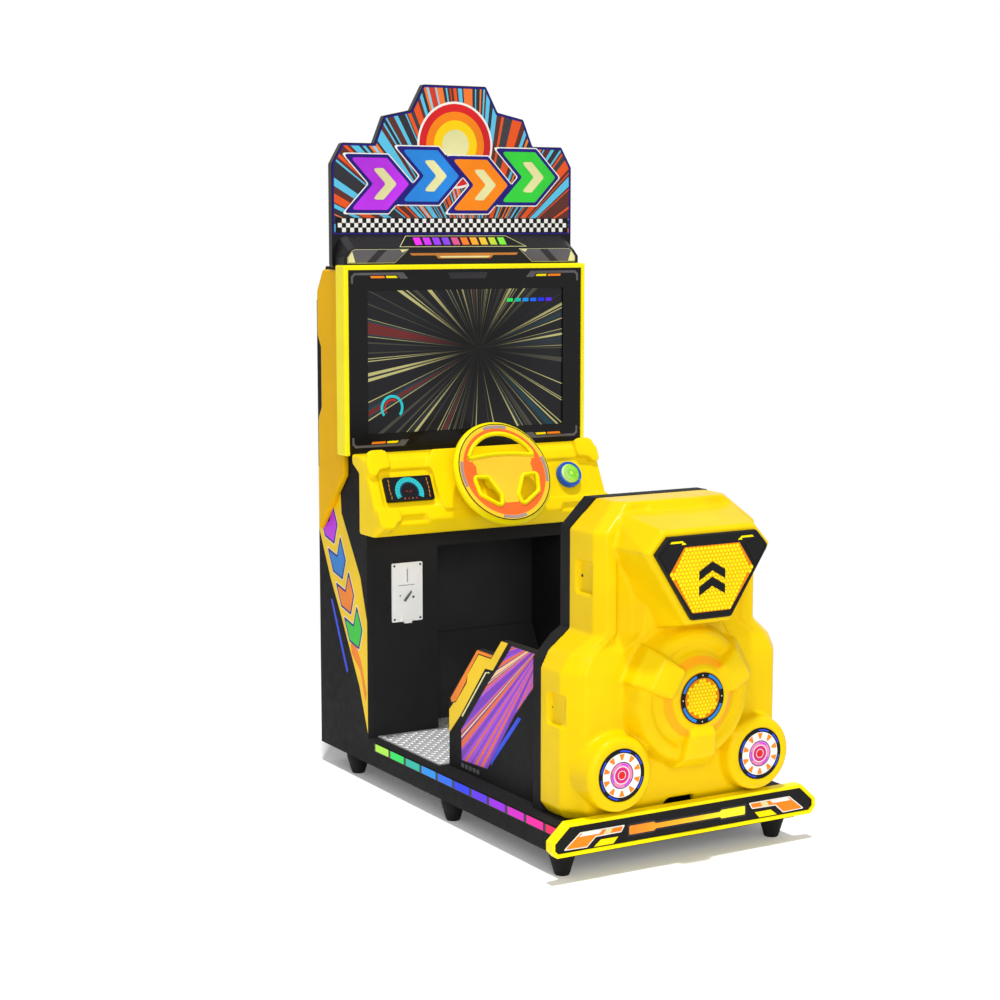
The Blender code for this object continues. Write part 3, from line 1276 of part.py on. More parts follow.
build_platform()
build_tower_sides()
build_tower_shell()
build_coin_door()
build_screen()
build_marquee()
build_dash()
build_controls()
build_steering()
build_pedal()
build_seat()
build_pod()
build_pod_trim()
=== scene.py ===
"""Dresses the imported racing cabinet: finishes, printed panels, lit blocks, screws and the padded seat.

Metres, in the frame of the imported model: X across, +Y from the seat to the tower, +Z up.
"""

import json
import logging
import math
from collections.abc import Sequence
from dataclasses import dataclass, field
from enum import Enum

import bmesh
import bpy
from mathutils import Euler, Matrix, Vector

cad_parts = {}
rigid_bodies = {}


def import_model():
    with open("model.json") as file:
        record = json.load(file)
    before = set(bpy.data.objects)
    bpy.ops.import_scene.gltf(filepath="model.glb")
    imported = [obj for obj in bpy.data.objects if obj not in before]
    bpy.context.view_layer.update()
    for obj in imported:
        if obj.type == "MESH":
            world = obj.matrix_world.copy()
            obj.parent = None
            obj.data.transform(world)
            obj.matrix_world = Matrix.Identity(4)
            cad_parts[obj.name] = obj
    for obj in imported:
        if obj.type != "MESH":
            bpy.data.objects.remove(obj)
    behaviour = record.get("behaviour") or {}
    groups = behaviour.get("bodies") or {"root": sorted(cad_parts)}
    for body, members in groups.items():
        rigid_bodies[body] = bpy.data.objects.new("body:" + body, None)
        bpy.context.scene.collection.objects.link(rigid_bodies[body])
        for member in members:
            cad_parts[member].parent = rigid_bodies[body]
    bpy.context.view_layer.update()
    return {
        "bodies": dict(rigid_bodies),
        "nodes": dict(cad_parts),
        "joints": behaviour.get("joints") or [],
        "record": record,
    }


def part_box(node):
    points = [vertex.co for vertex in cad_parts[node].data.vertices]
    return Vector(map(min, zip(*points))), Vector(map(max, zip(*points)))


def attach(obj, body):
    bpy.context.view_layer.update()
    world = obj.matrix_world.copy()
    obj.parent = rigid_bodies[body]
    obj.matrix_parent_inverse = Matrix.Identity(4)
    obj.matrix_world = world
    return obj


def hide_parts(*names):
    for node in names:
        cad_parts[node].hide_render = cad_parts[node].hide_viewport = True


LOG = logging.getLogger("racing_cabinet")

Point2 = tuple[float, float]
Point3 = tuple[float, float, float]
Outline = list[Point2]
Colour = tuple[int, int, int]
Stops = tuple[tuple[float, Colour], ...]


class Body(str, Enum):
    """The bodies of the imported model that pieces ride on."""

    CABINET = "cabinet"
    WHEEL = "wheel"
    START = "start_cap"
    PEDAL = "pedal"
    DOOR = "door"


class Slot(str, Enum):
    """The record's material slots."""

    BLACK_PANEL = "black_panel"
    BLACK_PLASTIC = "black_plastic"
    BLACK_GLOSS = "black_gloss"
    FOOT_RUBBER = "foot_rubber"
    LED_COVER = "led_cover"
    TREAD = "tread_aluminium"
    YELLOW = "yellow_plastic"
    STEEL = "steel"
    WHITE = "white_paint"
    BLUE = "blue_plastic"
    LIME = "lime_plastic"
    ORANGE = "orange_plastic"
    LEATHER = "black_leatherette"
    AMBER = "amber_print"
    DISC = "disc_print"


class Side(Enum):
    """The two long sides of the cabinet, by the sign of X."""

    LEFT = -1
    RIGHT = 1

    @property
    def label(self) -> str:
        """The side's name in lower case."""
        return self.name.lower()


class Axes(Enum):
    """The two Object coordinates that a flat print is drawn in."""

    FRONT = ("X", "Z")
    FLANK = ("Y", "Z")


def linear(colour: Colour) -> tuple[float, float, float, float]:
    """Linear light of an 8-bit colour, with an alpha of 1."""
    shares = [channel / 255 for channel in colour]
    red, green, blue = [s / 12.92 if s <= 0.04045 else ((s + 0.055) / 1.055) ** 2.4 for s in shares]
    return (red, green, blue, 1.0)


class Wiring:
    """A material's node tree, with a Principled shader at its end."""

    def __init__(self, name: str) -> None:
        """Starts an empty tree.

        Args:
            name: Name of the material.
        """
        self.material = bpy.data.materials.new(name)
        self.material.use_nodes = True
        self.tree = self.material.node_tree
        self.tree.nodes.clear()
        self.shader = self.tree.nodes.new("ShaderNodeBsdfPrincipled")
        self.output = self.tree.nodes.new("ShaderNodeOutputMaterial")
        self.tree.links.new(self.shader.outputs[0], self.output.inputs["Surface"])
        self._place: bpy.types.NodeSocket | None = None

    def feed(self, socket: bpy.types.NodeSocket, value: object) -> None:
        """Links a socket to another, or sets its value."""
        if isinstance(value, bpy.types.NodeSocket):
            self.tree.links.new(value, socket)
        else:
            socket.default_value = value

    def node(self, kind: str, *values: object, **settings: object) -> bpy.types.Node:
        """Adds a shader node.

        Args:
            kind: Type name after "ShaderNode".
            values: What its inputs get, in order, with None for one left alone.
            settings: Its own properties.

        Returns:
            The new node.
        """
        made = self.tree.nodes.new("ShaderNode" + kind)
        for key, value in settings.items():
            setattr(made, key, value)
        for socket, value in zip(made.inputs, values):
            if value is not None:
                self.feed(socket, value)
        return made

    def math(self, operation: str, *values: object) -> bpy.types.NodeSocket:
        """The result of a Math node."""
        return self.node("Math", *values, operation=operation).outputs[0]

    def place(self) -> bpy.types.NodeSocket:
        """Object coordinates."""
        if self._place is None:
            self._place = self.node("TexCoord").outputs["Object"]
        return self._place

    def axis(self, name: str) -> bpy.types.NodeSocket:
        """One Object coordinate."""
        return self.node("SeparateXYZ", self.place()).outputs[name]

    def noise(self, scale: float, detail: float = 3.0) -> bpy.types.NodeSocket:
        """Noise over Object coordinates, from 0 to 1."""
        return self.node("TexNoise", self.place(), None, scale, detail).outputs[0]

    def ramp(self, factor: bpy.types.NodeSocket, stops: Stops, hard: bool = False) -> bpy.types.NodeSocket:
        """Colours along a factor.

        Args:
            factor: Where on the ramp, from 0 to 1.
            stops: Positions and their 8-bit colours.
            hard: Whether the colours meet in an edge.

        Returns:
            The colour socket.
        """
        made = self.node("ValToRGB", factor)
        band = made.color_ramp
        band.interpolation = "CONSTANT" if hard else "LINEAR"
        while len(band.elements) < len(stops):
            band.elements.new(1.0)
        for element, (position, colour) in zip(band.elements, stops):
            element.position = position
            element.color = linear(colour)
        return made.outputs[0]

    def span(self, value: bpy.types.NodeSocket, low: float, high: float, start: float = 0.0,
             stop: float = 1.0) -> bpy.types.NodeSocket:
        """A value mapped from low..high to start..stop and held there."""
        return self.node("MapRange", value, low, high, start, stop).outputs[0]

    def product(self, *values: bpy.types.NodeSocket) -> bpy.types.NodeSocket:
        """All the values multiplied."""
        result = values[0]
        for value in values[1:]:
            result = self.math("MULTIPLY", result, value)
        return result

    def length(self, across: bpy.types.NodeSocket, rise: bpy.types.NodeSocket) -> bpy.types.NodeSocket:
        """The length of a flat vector."""
        squares = self.math("ADD", self.math("POWER", across, 2.0), self.math("POWER", rise, 2.0))
        return self.math("SQRT", squares)

    def mix(self, share: bpy.types.NodeSocket, first: object, second: object) -> bpy.types.NodeSocket:
        """The first colour turned into the second by a share."""
        made = self.node("Mix", data_type="RGBA")
        for key, value in (("Factor", share), (6, first), (7, second)):
            self.feed(made.inputs[key], value)
        return made.outputs[2]

    def bump(self, height: bpy.types.NodeSocket, distance: float, strength: float = 1.0) -> None:
        """Sends a height to the shader's normal."""
        made = self.node("Bump")
        for key, value in (("Strength", strength), ("Distance", distance), ("Height", height)):
            self.feed(made.inputs[key], value)
        self.feed(self.shader.inputs["Normal"], made.outputs[0])


MADE: dict[str, bpy.types.Material] = {}


@dataclass(frozen=True)
class Finish:
    """A surface finish with fine grain and a little change of tone over the piece.

    Attributes:
        name: Name of its material.
        colour: 8-bit colour.
        roughness: Mean roughness.
        metallic: 1 for bare metal.
        coat: Weight of a clear coat.
        grain: Scale of the grain, in cells per metre.
        relief: Depth of the grain in metres.
        mottle: Share by which the tone changes.
        glow: Strength of its own light.
        shine: Level of its plain reflections.
    """

    name: str
    colour: Colour = (128, 128, 128)
    roughness: float = 0.4
    metallic: float = 0.0
    coat: float = 0.0
    grain: float = 900.0
    relief: float = 0.00004
    mottle: float = 0.05
    glow: float = 0.0
    shine: float = 0.14

    def material(self) -> bpy.types.Material:
        """The finish's material, made once."""
        if self.name not in MADE:
            wiring = Wiring(self.name)
            self.wire(wiring)
            MADE[self.name] = wiring.material
        return MADE[self.name]

    def wire(self, wiring: Wiring) -> None:
        """Builds the node tree.

        Args:
            wiring: The empty tree.
        """
        shader = wiring.shader
        tint = self.tint(wiring)
        wear = wiring.span(wiring.noise(34.0, 4.0), 0.3, 0.7, self.roughness * 0.86, self.roughness * 1.16)
        for key, value in (("Metallic", self.metallic), ("Specular IOR Level", self.shine),
                           ("Coat Weight", self.coat), ("Coat Roughness", 0.12), ("Roughness", wear)):
            wiring.feed(shader.inputs[key], value)
        if self.glow:
            wiring.feed(shader.inputs["Emission Color"], tint)
            shader.inputs["Emission Strength"].default_value = self.glow
            shader.inputs["Base Color"].default_value = linear((18, 18, 20))
        else:
            wiring.feed(shader.inputs["Base Color"], tint)
        self.surface(wiring)

    def tint(self, wiring: Wiring) -> bpy.types.NodeSocket:
        """The colour over the piece."""
        low = tuple(round(c * (1 - self.mottle)) for c in self.colour)
        high = tuple(min(255, round(c * (1 + self.mottle * 0.6))) for c in self.colour)
        return wiring.ramp(wiring.noise(7.0, 5.0), ((0.32, low), (0.68, high)))

    def surface(self, wiring: Wiring) -> None:
        """The grain in the surface."""
        wiring.bump(wiring.noise(self.grain, 2.0), self.relief)


@dataclass(frozen=True)
class Laminate(Finish):
    """Black board laminate: fine pebble grain with pale rubbing."""

    def tint(self, wiring: Wiring) -> bpy.types.NodeSocket:
        """Near black with faint cloudy rubbing."""
        pale = tuple(round(c * 1.35) for c in self.colour)
        return wiring.ramp(wiring.noise(3.2, 6.0), ((0.35, self.colour), (0.8, pale)))

    def surface(self, wiring: Wiring) -> None:
        """Pebble grain."""
        cells = wiring.node("TexVoronoi", wiring.place(), None, self.grain).outputs["Distance"]
        wiring.bump(cells, self.relief)


@dataclass(frozen=True)
class Leather(Finish):
    """Coated cloth with a creased leather grain."""

    def surface(self, wiring: Wiring) -> None:
        """Cell creases over fine pores."""
        cells = wiring.node("TexVoronoi", wiring.place(), None, self.grain,
                            feature="DISTANCE_TO_EDGE").outputs["Distance"]
        pores = wiring.math("MULTIPLY", wiring.noise(self.grain * 4), 0.25)
        wiring.bump(wiring.math("ADD", wiring.span(cells, 0.0, 0.12), pores), self.relief, 0.7)


@dataclass(frozen=True)
class Brushed(Finish):
    """Metal with fine lines drawn across X."""

    def surface(self, wiring: Wiring) -> None:
        """Stretched noise."""
        drawn = wiring.node("Mapping", wiring.place(), None, None, (0.03, 1.0, 1.0)).outputs[0]
        lines = wiring.node("TexNoise", drawn, None, self.grain, 2.0).outputs[0]
        wiring.bump(lines, self.relief, 0.6)


@dataclass(frozen=True)
class Blend(Finish):
    """Colours that change along one Object axis, or along the "tone" attribute where no axis is named."""

    stops: Stops = ()
    axis: str = ""
    low: float = 0.0
    high: float = 1.0

    def tint(self, wiring: Wiring) -> bpy.types.NodeSocket:
        """The ramp of colours."""
        if self.axis:
            factor = wiring.span(wiring.axis(self.axis), self.low, self.high)
        else:
            factor = wiring.node("Attribute", attribute_name="tone").outputs["Fac"]
        return wiring.ramp(factor, self.stops)


@dataclass(frozen=True)
class Burst(Finish):
    """Hard edged rays that spread from a point of a flat print."""

    stops: Stops = ()
    axes: Axes = Axes.FRONT
    centre: Point2 = (0.0, 0.0)
    rays: float = 5.0
    heart: float = 0.0

    def tint(self, wiring: Wiring) -> bpy.types.NodeSocket:
        """Rays by angle, darker round the centre."""
        across = wiring.math("SUBTRACT", wiring.axis(self.axes.value[0]), self.centre[0])
        rise = wiring.math("SUBTRACT", wiring.axis(self.axes.value[1]), self.centre[1])
        angle = wiring.math("MULTIPLY", wiring.math("ARCTAN2", rise, across), self.rays)
        grain = wiring.node("TexNoise", None, angle, 1.0, 3.0, noise_dimensions="1D").outputs[0]
        rays = wiring.ramp(wiring.span(grain, 0.28, 0.72), self.stops, hard=True)
        if not self.heart:
            return rays
        reach = wiring.span(wiring.length(across, rise), self.heart * 0.25, self.heart, 0.06, 1.0)
        return wiring.node("VectorMath", rays, (1, 1, 1), None, reach, operation="SCALE").outputs[0]


@dataclass(frozen=True)
class HubMoulding(Finish):
    """Yellow moulding with a deeper band between the hub's three clamps and painted shade, near black, in the
    notch at its foot.
    """

    centre_z: float = 0.389
    band: Point2 = (0.076, 0.094)
    front_y: float = -0.575
    deep: Colour = (250, 172, 18)
    notch: Point3 = (0.052, -0.534, 0.149)

    def tint(self, wiring: Wiring) -> bpy.types.NodeSocket:
        """Yellow, with the band by its radius about the hub and painted shade in the notch at the foot."""
        soft = 0.002
        low, high = self.band
        across = wiring.axis("X")
        rise = wiring.math("SUBTRACT", wiring.axis("Z"), self.centre_z)
        radius = wiring.length(across, rise)
        inside = wiring.span(radius, low - soft, low + soft)
        outside = wiring.span(radius, high - soft, high + soft, 1.0, 0.0)
        turn = wiring.math("SUBTRACT", wiring.math("ARCTAN2", rise, across), math.radians(30))
        between = wiring.span(wiring.math("COSINE", wiring.math("MULTIPLY", turn, 3.0)), 0.25, 0.40, 1.0, 0.0)
        front = wiring.span(wiring.axis("Y"), self.front_y - soft, self.front_y, 1.0, 0.0)
        share = wiring.product(inside, outside, between, front)
        banded = wiring.mix(share, super().tint(wiring), linear(self.deep))
        # Painted shade: near black inside the notch's recess at the pod's foot.
        within = wiring.math("LESS_THAN", wiring.math("ABSOLUTE", across), self.notch[0])
        behind = wiring.math("GREATER_THAN", wiring.axis("Y"), self.notch[1])
        below = wiring.math("LESS_THAN", wiring.axis("Z"), self.notch[2])
        return wiring.mix(wiring.product(within, behind, below), banded, linear((16, 15, 14)))


@dataclass(frozen=True)
class RimFinish(Finish):
    """Bright rim whose foot, between the two uprights, is black."""

    half: float = 0.3475
    foot_z: float = 0.8635

    def tint(self, wiring: Wiring) -> bpy.types.NodeSocket:
        """The rim's colour, with its black foot."""
        within = wiring.math("LESS_THAN", wiring.math("ABSOLUTE", wiring.axis("X")), self.half)
        below = wiring.math("LESS_THAN", wiring.axis("Z"), self.foot_z)
        return wiring.mix(wiring.product(within, below), super().tint(wiring), linear((14, 14, 16)))


def ink(name: str, colour: Colour, mottle: float = 0.08) -> Finish:
    """A printing ink."""
    return Finish(name + "_ink", colour, 0.36, coat=0.04, mottle=mottle)


YELLOW = Finish("yellow_moulding", (255, 216, 6), 0.34, coat=0.04, grain=520.0, relief=0.00006, mottle=0.03,
                shine=0.06)
COVER_YELLOW = Finish("cover_moulding", (238, 182, 8), 0.36, grain=520.0, relief=0.00006, mottle=0.03,
                      shine=0.03)
BRIGHT_YELLOW = Finish("bright_yellow", (250, 230, 4), 0.34, coat=0.04, mottle=0.03, shine=0.06)
RIM_YELLOW = RimFinish("bezel_rim_paint", (255, 236, 4), 0.34, coat=0.06, mottle=0.03)
POD_YELLOW = HubMoulding("pod_moulding", (238, 201, 4), 0.34, coat=0.05, grain=520.0, relief=0.00006,
                         mottle=0.03, shine=0.07)
BLACK_BOARD = Laminate("black_laminate", (33, 33, 34), 0.58, grain=1300.0, relief=0.00005, shine=0.03)
# The black laminate painted lighter than BLACK_BOARD: painted light for the footwell, which gets little
# light.
LINER_BOARD_PAINTED_LIGHT = Laminate("liner_laminate", (46, 46, 47), 0.58, grain=1300.0, relief=0.00005, shine=0.03)
BLACK_PLASTIC = Finish("black_plastic", (30, 30, 32), 0.45, grain=1400.0)
BLACK_GLOSS = Finish("black_gloss", (14, 14, 16), 0.22, coat=0.1, grain=300.0, relief=0.00001)
RUBBER = Finish("foot_rubber", (22, 22, 23), 0.72, grain=700.0, relief=0.0001)
LED_COVER = Finish("smoked_cover", (26, 26, 28), 0.25, coat=0.3, grain=300.0, relief=0.00001)
ALUMINIUM = Brushed("tread_aluminium", (208, 209, 211), 0.40, metallic=0.4, grain=1500.0, relief=0.00004)
STEEL = Brushed("bright_steel", (178, 180, 184), 0.34, metallic=1.0, grain=1600.0, relief=0.00003)
DARK_STEEL = Finish("blackened_steel", (66, 66, 70), 0.42, metallic=1.0, grain=1200.0)
WHITE_PAINT = Finish("white_paint", (253, 253, 250), 0.4, coat=0.05, grain=800.0, relief=0.00003, mottle=0.03)
BLUE = Finish("blue_plastic", (22, 92, 214), 0.3, coat=0.3, mottle=0.06)
# The start lens pales towards low X: a painted highlight across the cap.
LIME = Blend("lime_lens", (200, 250, 90), 0.25, coat=0.4, axis="X", low=0.216, high=0.268,
             stops=((0.0, (232, 255, 170)), (0.55, (205, 250, 70)), (1.0, (170, 235, 40))))
ORANGE = Finish("orange_plastic", (252, 108, 40), 0.36, coat=0.15, mottle=0.05)
GOLD = Finish("golden_plastic", (252, 200, 44), 0.36, coat=0.15, mottle=0.04)
MAUVE = Finish("mauve_pad", (166, 146, 152), 0.42, mottle=0.08)
LEATHER = Leather("black_leatherette", (30, 30, 32), 0.46, grain=420.0, relief=0.00022)
THREAD = Finish("grey_thread", (96, 96, 100), 0.7, grain=3000.0, relief=0.0001)
AMBER = Finish("amber_base", (226, 132, 10), 0.35, coat=0.05, shine=0.06)
HONEY = Finish("honey_cells", (255, 228, 16), 0.33, coat=0.05, mottle=0.05, shine=0.06)
PRINT_BLACK = Finish("black_ink", (14, 14, 16), 0.4, coat=0.02, mottle=0.2)
PRINT_WHITE = ink("white", (240, 238, 232), 0.02)
PRINT_YELLOW = ink("yellow", (248, 206, 14), 0.03)
PRINT_ORANGE = ink("orange", (250, 134, 22))
PRINT_NAVY = ink("navy", (34, 26, 120))
PRINT_BLUE = ink("blue", (38, 74, 226))
PRINT_CYAN = ink("azure", (40, 130, 214), 0.1)
PRINT_GREY = ink("grey", (92, 90, 94), 0.1)
PRINT_DARK = ink("dark", (48, 46, 50), 0.12)
PRINT_CREAM = ink("cream", (226, 222, 160), 0.05)
PRINT_BROWN = ink("amber_brown", (196, 124, 54), 0.1)
PRINT_PURPLE = ink("purple", (190, 52, 232), 0.1)
PRINT_GREEN = ink("green", (54, 206, 62))
PRINT_RED = ink("red", (214, 34, 38))
PRINT_MAGENTA = ink("magenta", (206, 44, 122), 0.1)
PRINT_ROSE = ink("rose", (226, 130, 176), 0.1)
GAUGE_CYAN = Finish("gauge_light", (40, 214, 220), 0.4, mottle=0.1, glow=0.95)
GAUGE_RED = Finish("gauge_mark", (220, 50, 50), 0.4, glow=0.9)
BAR_BLEND = Blend("bar_ink", roughness=0.34, coat=0.2, axis="X", low=-0.12, high=0.10,
                  stops=((0.0, (252, 140, 24)), (0.6, (252, 196, 30)), (1.0, (252, 240, 40))))
SPECTRUM = Blend("lit_blocks", roughness=0.3, glow=0.95, stops=(
    (0.0, (176, 245, 60)), (0.1, (10, 232, 96)), (0.2, (0, 190, 168)), (0.3, (0, 150, 245)),
    (0.4, (0, 108, 250)), (0.5, (10, 50, 250)), (0.6, (92, 30, 245)), (0.7, (160, 0, 240)),
    (0.8, (225, 0, 212)), (0.9, (255, 0, 170)), (1.0, (255, 0, 100))))
HEADER_BURST = Burst("header_rays", roughness=0.3, coat=0.05, centre=(0.06, 1.30), rays=4.2, stops=(
    (0.0, (58, 60, 66)), (0.2, (228, 84, 30)), (0.36, (92, 46, 40)), (0.46, (90, 190, 224)),
    (0.56, (46, 46, 52)), (0.68, (240, 120, 50)), (0.8, (126, 206, 232)), (0.9, (206, 60, 34))))
TITLE_BLEND = Blend("title_bars", roughness=0.36, coat=0.04, stops=(
    (0.0, (240, 40, 236)), (0.3, (90, 60, 236)), (0.5, (236, 84, 40)), (0.7, (250, 170, 40)),
    (1.0, (120, 222, 60))))
SCREEN_BURST = Burst("screen_rays", glow=0.92, roughness=0.2, rays=4.6, heart=0.22, centre=(0.035, 1.112),
                     stops=((0.0, (26, 27, 30)), (0.22, (72, 70, 58)), (0.34, (24, 24, 27)),
                            (0.60, (196, 190, 124)), (0.66, (42, 44, 48)), (0.82, (22, 64, 76)),
                            (0.92, (112, 38, 34))))
FLANK_BURST = Burst("flank_rays", roughness=0.34, coat=0.2, axes=Axes.FLANK, rays=7.0, centre=(-0.42, 0.52),
                    stops=((0.0, (246, 176, 96)), (0.22, (120, 40, 190)), (0.4, (160, 70, 226)),
                           (0.52, (238, 104, 44)), (0.66, (84, 24, 150)), (0.8, (250, 206, 150)),
                           (0.9, (196, 110, 236))))

TILE_INKS = (PRINT_PURPLE, PRINT_CYAN, PRINT_ORANGE, PRINT_GREEN)
SLOT_FINISH = {
    Slot.BLACK_PANEL: BLACK_BOARD, Slot.BLACK_PLASTIC: BLACK_PLASTIC, Slot.BLACK_GLOSS: BLACK_GLOSS,
    Slot.FOOT_RUBBER: RUBBER, Slot.LED_COVER: LED_COVER, Slot.TREAD: ALUMINIUM, Slot.YELLOW: YELLOW,
    Slot.STEEL: STEEL, Slot.WHITE: WHITE_PAINT, Slot.BLUE: BLUE, Slot.LIME: LIME, Slot.ORANGE: ORANGE,
    Slot.LEATHER: LEATHER, Slot.AMBER: AMBER, Slot.DISC: PRINT_BLACK,
}


def rectangle(across: Point2, rise: Point2) -> Outline:
    """A rectangle from its two spans."""
    return [(across[0], rise[0]), (across[1], rise[0]), (across[1], rise[1]), (across[0], rise[1])]


def oblong(wide: float, high: float, middle: Point2 = (0.0, 0.0)) -> Outline:
    """A rectangle from its sizes and its middle."""
    u, v = middle
    return rectangle((u - wide / 2, u + wide / 2), (v - high / 2, v + high / 2))


def mirrored(half: Outline) -> Outline:
    """A whole outline from its right half, listed from the bottom up."""
    return half + [(-u, v) for u, v in reversed(half)]


def flipped(outline: Outline) -> Outline:
    """The outline seen in a mirror across u = 0."""
    return [(-u, v) for u, v in outline]


def arc(centre: Point2, radius: float, start: float, stop: float, count: int = 24) -> Outline:
    """Points on an arc, its angles in degrees."""
    points = []
    for index in range(count + 1):
        turn = math.radians(start + (stop - start) * index / count)
        points.append((centre[0] + radius * math.cos(turn), centre[1] + radius * math.sin(turn)))
    return points


def circle(centre: Point2, radius: float, count: int = 48) -> Outline:
    """A closed circle."""
    return arc(centre, radius, 0, 360, count)[:-1]


def band(centre: Point2, inner: float, outer: float, start: float, stop: float, count: int = 24) -> Outline:
    """A piece of a ring between two angles in degrees."""
    return arc(centre, outer, start, stop, count) + arc(centre, inner, stop, start, count)


def rounded(outline: Outline, radius: float, steps: int = 4) -> Outline:
    """The outline with its corners eased.

    Args:
        outline: A closed outline.
        radius: About the radius of each corner.
        steps: Edges in each corner.

    Returns:
        The eased outline.
    """
    eased = []
    for index, point in enumerate(outline):
        corner = Vector(point)
        back = Vector(outline[index - 1]) - corner
        ahead = Vector(outline[(index + 1) % len(outline)]) - corner
        setback = radius / math.tan(max(back.angle(ahead), 0.2) / 2)
        start = corner + back.normalized() * min(setback, back.length * 0.45)
        end = corner + ahead.normalized() * min(setback, ahead.length * 0.45)
        for step in range(steps + 1):
            share = step / steps
            bend = start.lerp(corner, share).lerp(corner.lerp(end, share), share)
            eased.append((bend.x, bend.y))
    return eased


def inset(outline: Outline, distance: float) -> Outline:
    """The outline moved inwards by a distance, or outwards where it is negative."""
    points = [Vector(point) for point in outline]
    area = sum(a.x * b.y - a.y * b.x for a, b in zip(points, points[1:] + points[:1]))
    way = math.copysign(1.0, area)
    moved = []
    for index, point in enumerate(points):
        before = (point - points[index - 1]).normalized()
        after = (points[(index + 1) % len(points)] - point).normalized()
        first = Vector((-before.y, before.x)) * way
        second = Vector((-after.y, after.x)) * way
        shift = (first + second) * (distance / max(1 + first.dot(second), 0.3))
        moved.append((point.x + shift.x, point.y + shift.y))
    return moved


def arrow(centre: Point2, length: float, height: float, turn: float, notch: float = 0.38) -> Outline:
    """A notched arrow, as on a road sign for a bend.

    Args:
        centre: Its middle.
        length: Size along its way.
        height: Size across it.
        turn: Its way, in degrees.
        notch: Depth of the point as a share of the length.

    Returns:
        The outline.
    """
    half, rise, deep = length / 2, height / 2, length * notch
    flat = [(-half, -rise), (half - deep, -rise), (half, 0), (half - deep, rise), (-half, rise),
            (deep - half, 0)]
    cosine, sine = math.cos(math.radians(turn)), math.sin(math.radians(turn))
    return [(centre[0] + u * cosine - v * sine, centre[1] + u * sine + v * cosine) for u, v in flat]


@dataclass(frozen=True)
class Spot:
    """Where one repeat of a small shape goes.

    Attributes:
        place: Its point.
        turn: How it is turned.
        grow: Its scale along its own axes.
        tone: Its place on a ramp of colours.
    """

    place: Vector
    turn: Euler
    grow: Point3 = (1.0, 1.0, 1.0)
    tone: float = 0.5


@dataclass(frozen=True)
class Face:
    """A flat face that prints and screws sit on; its outward way is across x up."""

    origin: Vector
    across: Vector
    up: Vector

    def matrix(self) -> Matrix:
        """From (across, up, out) to the model's frame."""
        out = self.across.cross(self.up)
        made = Matrix((self.across, self.up, out)).transposed().to_4x4()
        made.translation = self.origin
        return made

    def spot(self, u: float, v: float, out: float = 0.0, spin: float = 0.0,
             grow: Point3 = (1.0, 1.0, 1.0), tone: float = 0.5) -> Spot:
        """A spot on the face.

        Args:
            u: Distance across.
            v: Distance up.
            out: Distance off the face.
            spin: Turn in the face, in degrees.
            grow: Scale of the shape.
            tone: Place on a ramp of colours.

        Returns:
            The spot.
        """
        matrix = self.matrix()
        turned = matrix.to_3x3() @ Matrix.Rotation(math.radians(spin), 3, "Z")
        return Spot(matrix @ Vector((u, v, out)), turned.to_euler(), grow, tone)


def facing_seat(y: float) -> Face:
    """A face that looks along -Y, with u = X and v = Z."""
    return Face(Vector((0, y, 0)), Vector((1, 0, 0)), Vector((0, 0, 1)))


def facing_rear(y: float) -> Face:
    """A face that looks along +Y, with u = -X and v = Z."""
    return Face(Vector((0, y, 0)), Vector((-1, 0, 0)), Vector((0, 0, 1)))


def facing_out(side: Side, x: float) -> Face:
    """A face that looks out from one side, with v = Z and u = Y on the right or -Y on the left."""
    return Face(Vector((side.value * x, 0, 0)), Vector((0, side.value, 0)), Vector((0, 0, 1)))


def on_side(side: Side, outline: Outline) -> Outline:
    """An outline of (y, z) points as a side face takes it."""
    return outline if side is Side.RIGHT else flipped(outline)


WHEEL_UP = Vector((0.0, 0.447759, 0.894154))
STEERING = Face(Vector((0.0, 0.2445, 0.804)), Vector((1, 0, 0)), WHEEL_UP)
PRINT_LOW = 0.0001
PRINT_HIGH = 0.0005


@dataclass(frozen=True)
class Layer:
    """One printed or applied shape.

    Attributes:
        loops: Its outline, then its holes.
        finish: Its finish.
        low: Where it starts above the face.
        high: Where it ends above the face.
    """

    loops: tuple[Outline, ...]
    finish: Finish
    low: float = PRINT_LOW
    high: float = PRINT_HIGH


def flat(outline: Outline, finish: Finish, low: float = PRINT_LOW, high: float = PRINT_HIGH) -> Layer:
    """A layer with no holes."""
    return Layer((outline,), finish, low, high)


def pair(outline: Outline, finish: Finish, low: float = PRINT_LOW, high: float = PRINT_HIGH) -> list[Layer]:
    """A layer and its twin across u = 0."""
    return [flat(outline, finish, low, high), flat(flipped(outline), finish, low, high)]


def hoop(centre: Point2, radii: Point2, finish: Finish, low: float, high: float, count: int = 96) -> Layer:
    """A whole ring between its inner and its outer radius."""
    return Layer((circle(centre, radii[1], count), circle(centre, radii[0], count)), finish, low, high)


def stacked(shape: Outline, ease: float, thick: float,
            steps: Sequence[tuple[float, Finish, float]]) -> list[Layer]:
    """Layers of one shape on top of each other.

    Args:
        shape: The shape's outline.
        ease: Radius of the corners.
        thick: Thickness of each layer.
        steps: How far each layer is set in, its finish and where it starts.

    Returns:
        The layers.
    """
    return [flat(rounded(inset(shape, back), ease, 3), finish, base, base + thick)
            for back, finish, base in steps]


def linked(name: str, data: bpy.types.ID) -> bpy.types.Object:
    """A new object in the scene."""
    made = bpy.data.objects.new(name, data)
    bpy.context.scene.collection.objects.link(made)
    return made


def smooth(obj: bpy.types.Object, finish: Finish | None = None) -> None:
    """Shades an object smoothly, in one finish where it is given."""
    for polygon in obj.data.polygons:
        polygon.use_smooth = True
    if finish:
        obj.data.materials.clear()
        obj.data.materials.append(finish.material())


def reskin(obj: bpy.types.Object, voxel: float) -> None:
    """Adds the modifier that gives an object an even skin."""
    remesh = obj.modifiers.new("skin", "REMESH")
    remesh.mode = "VOXEL"
    remesh.voxel_size = voxel


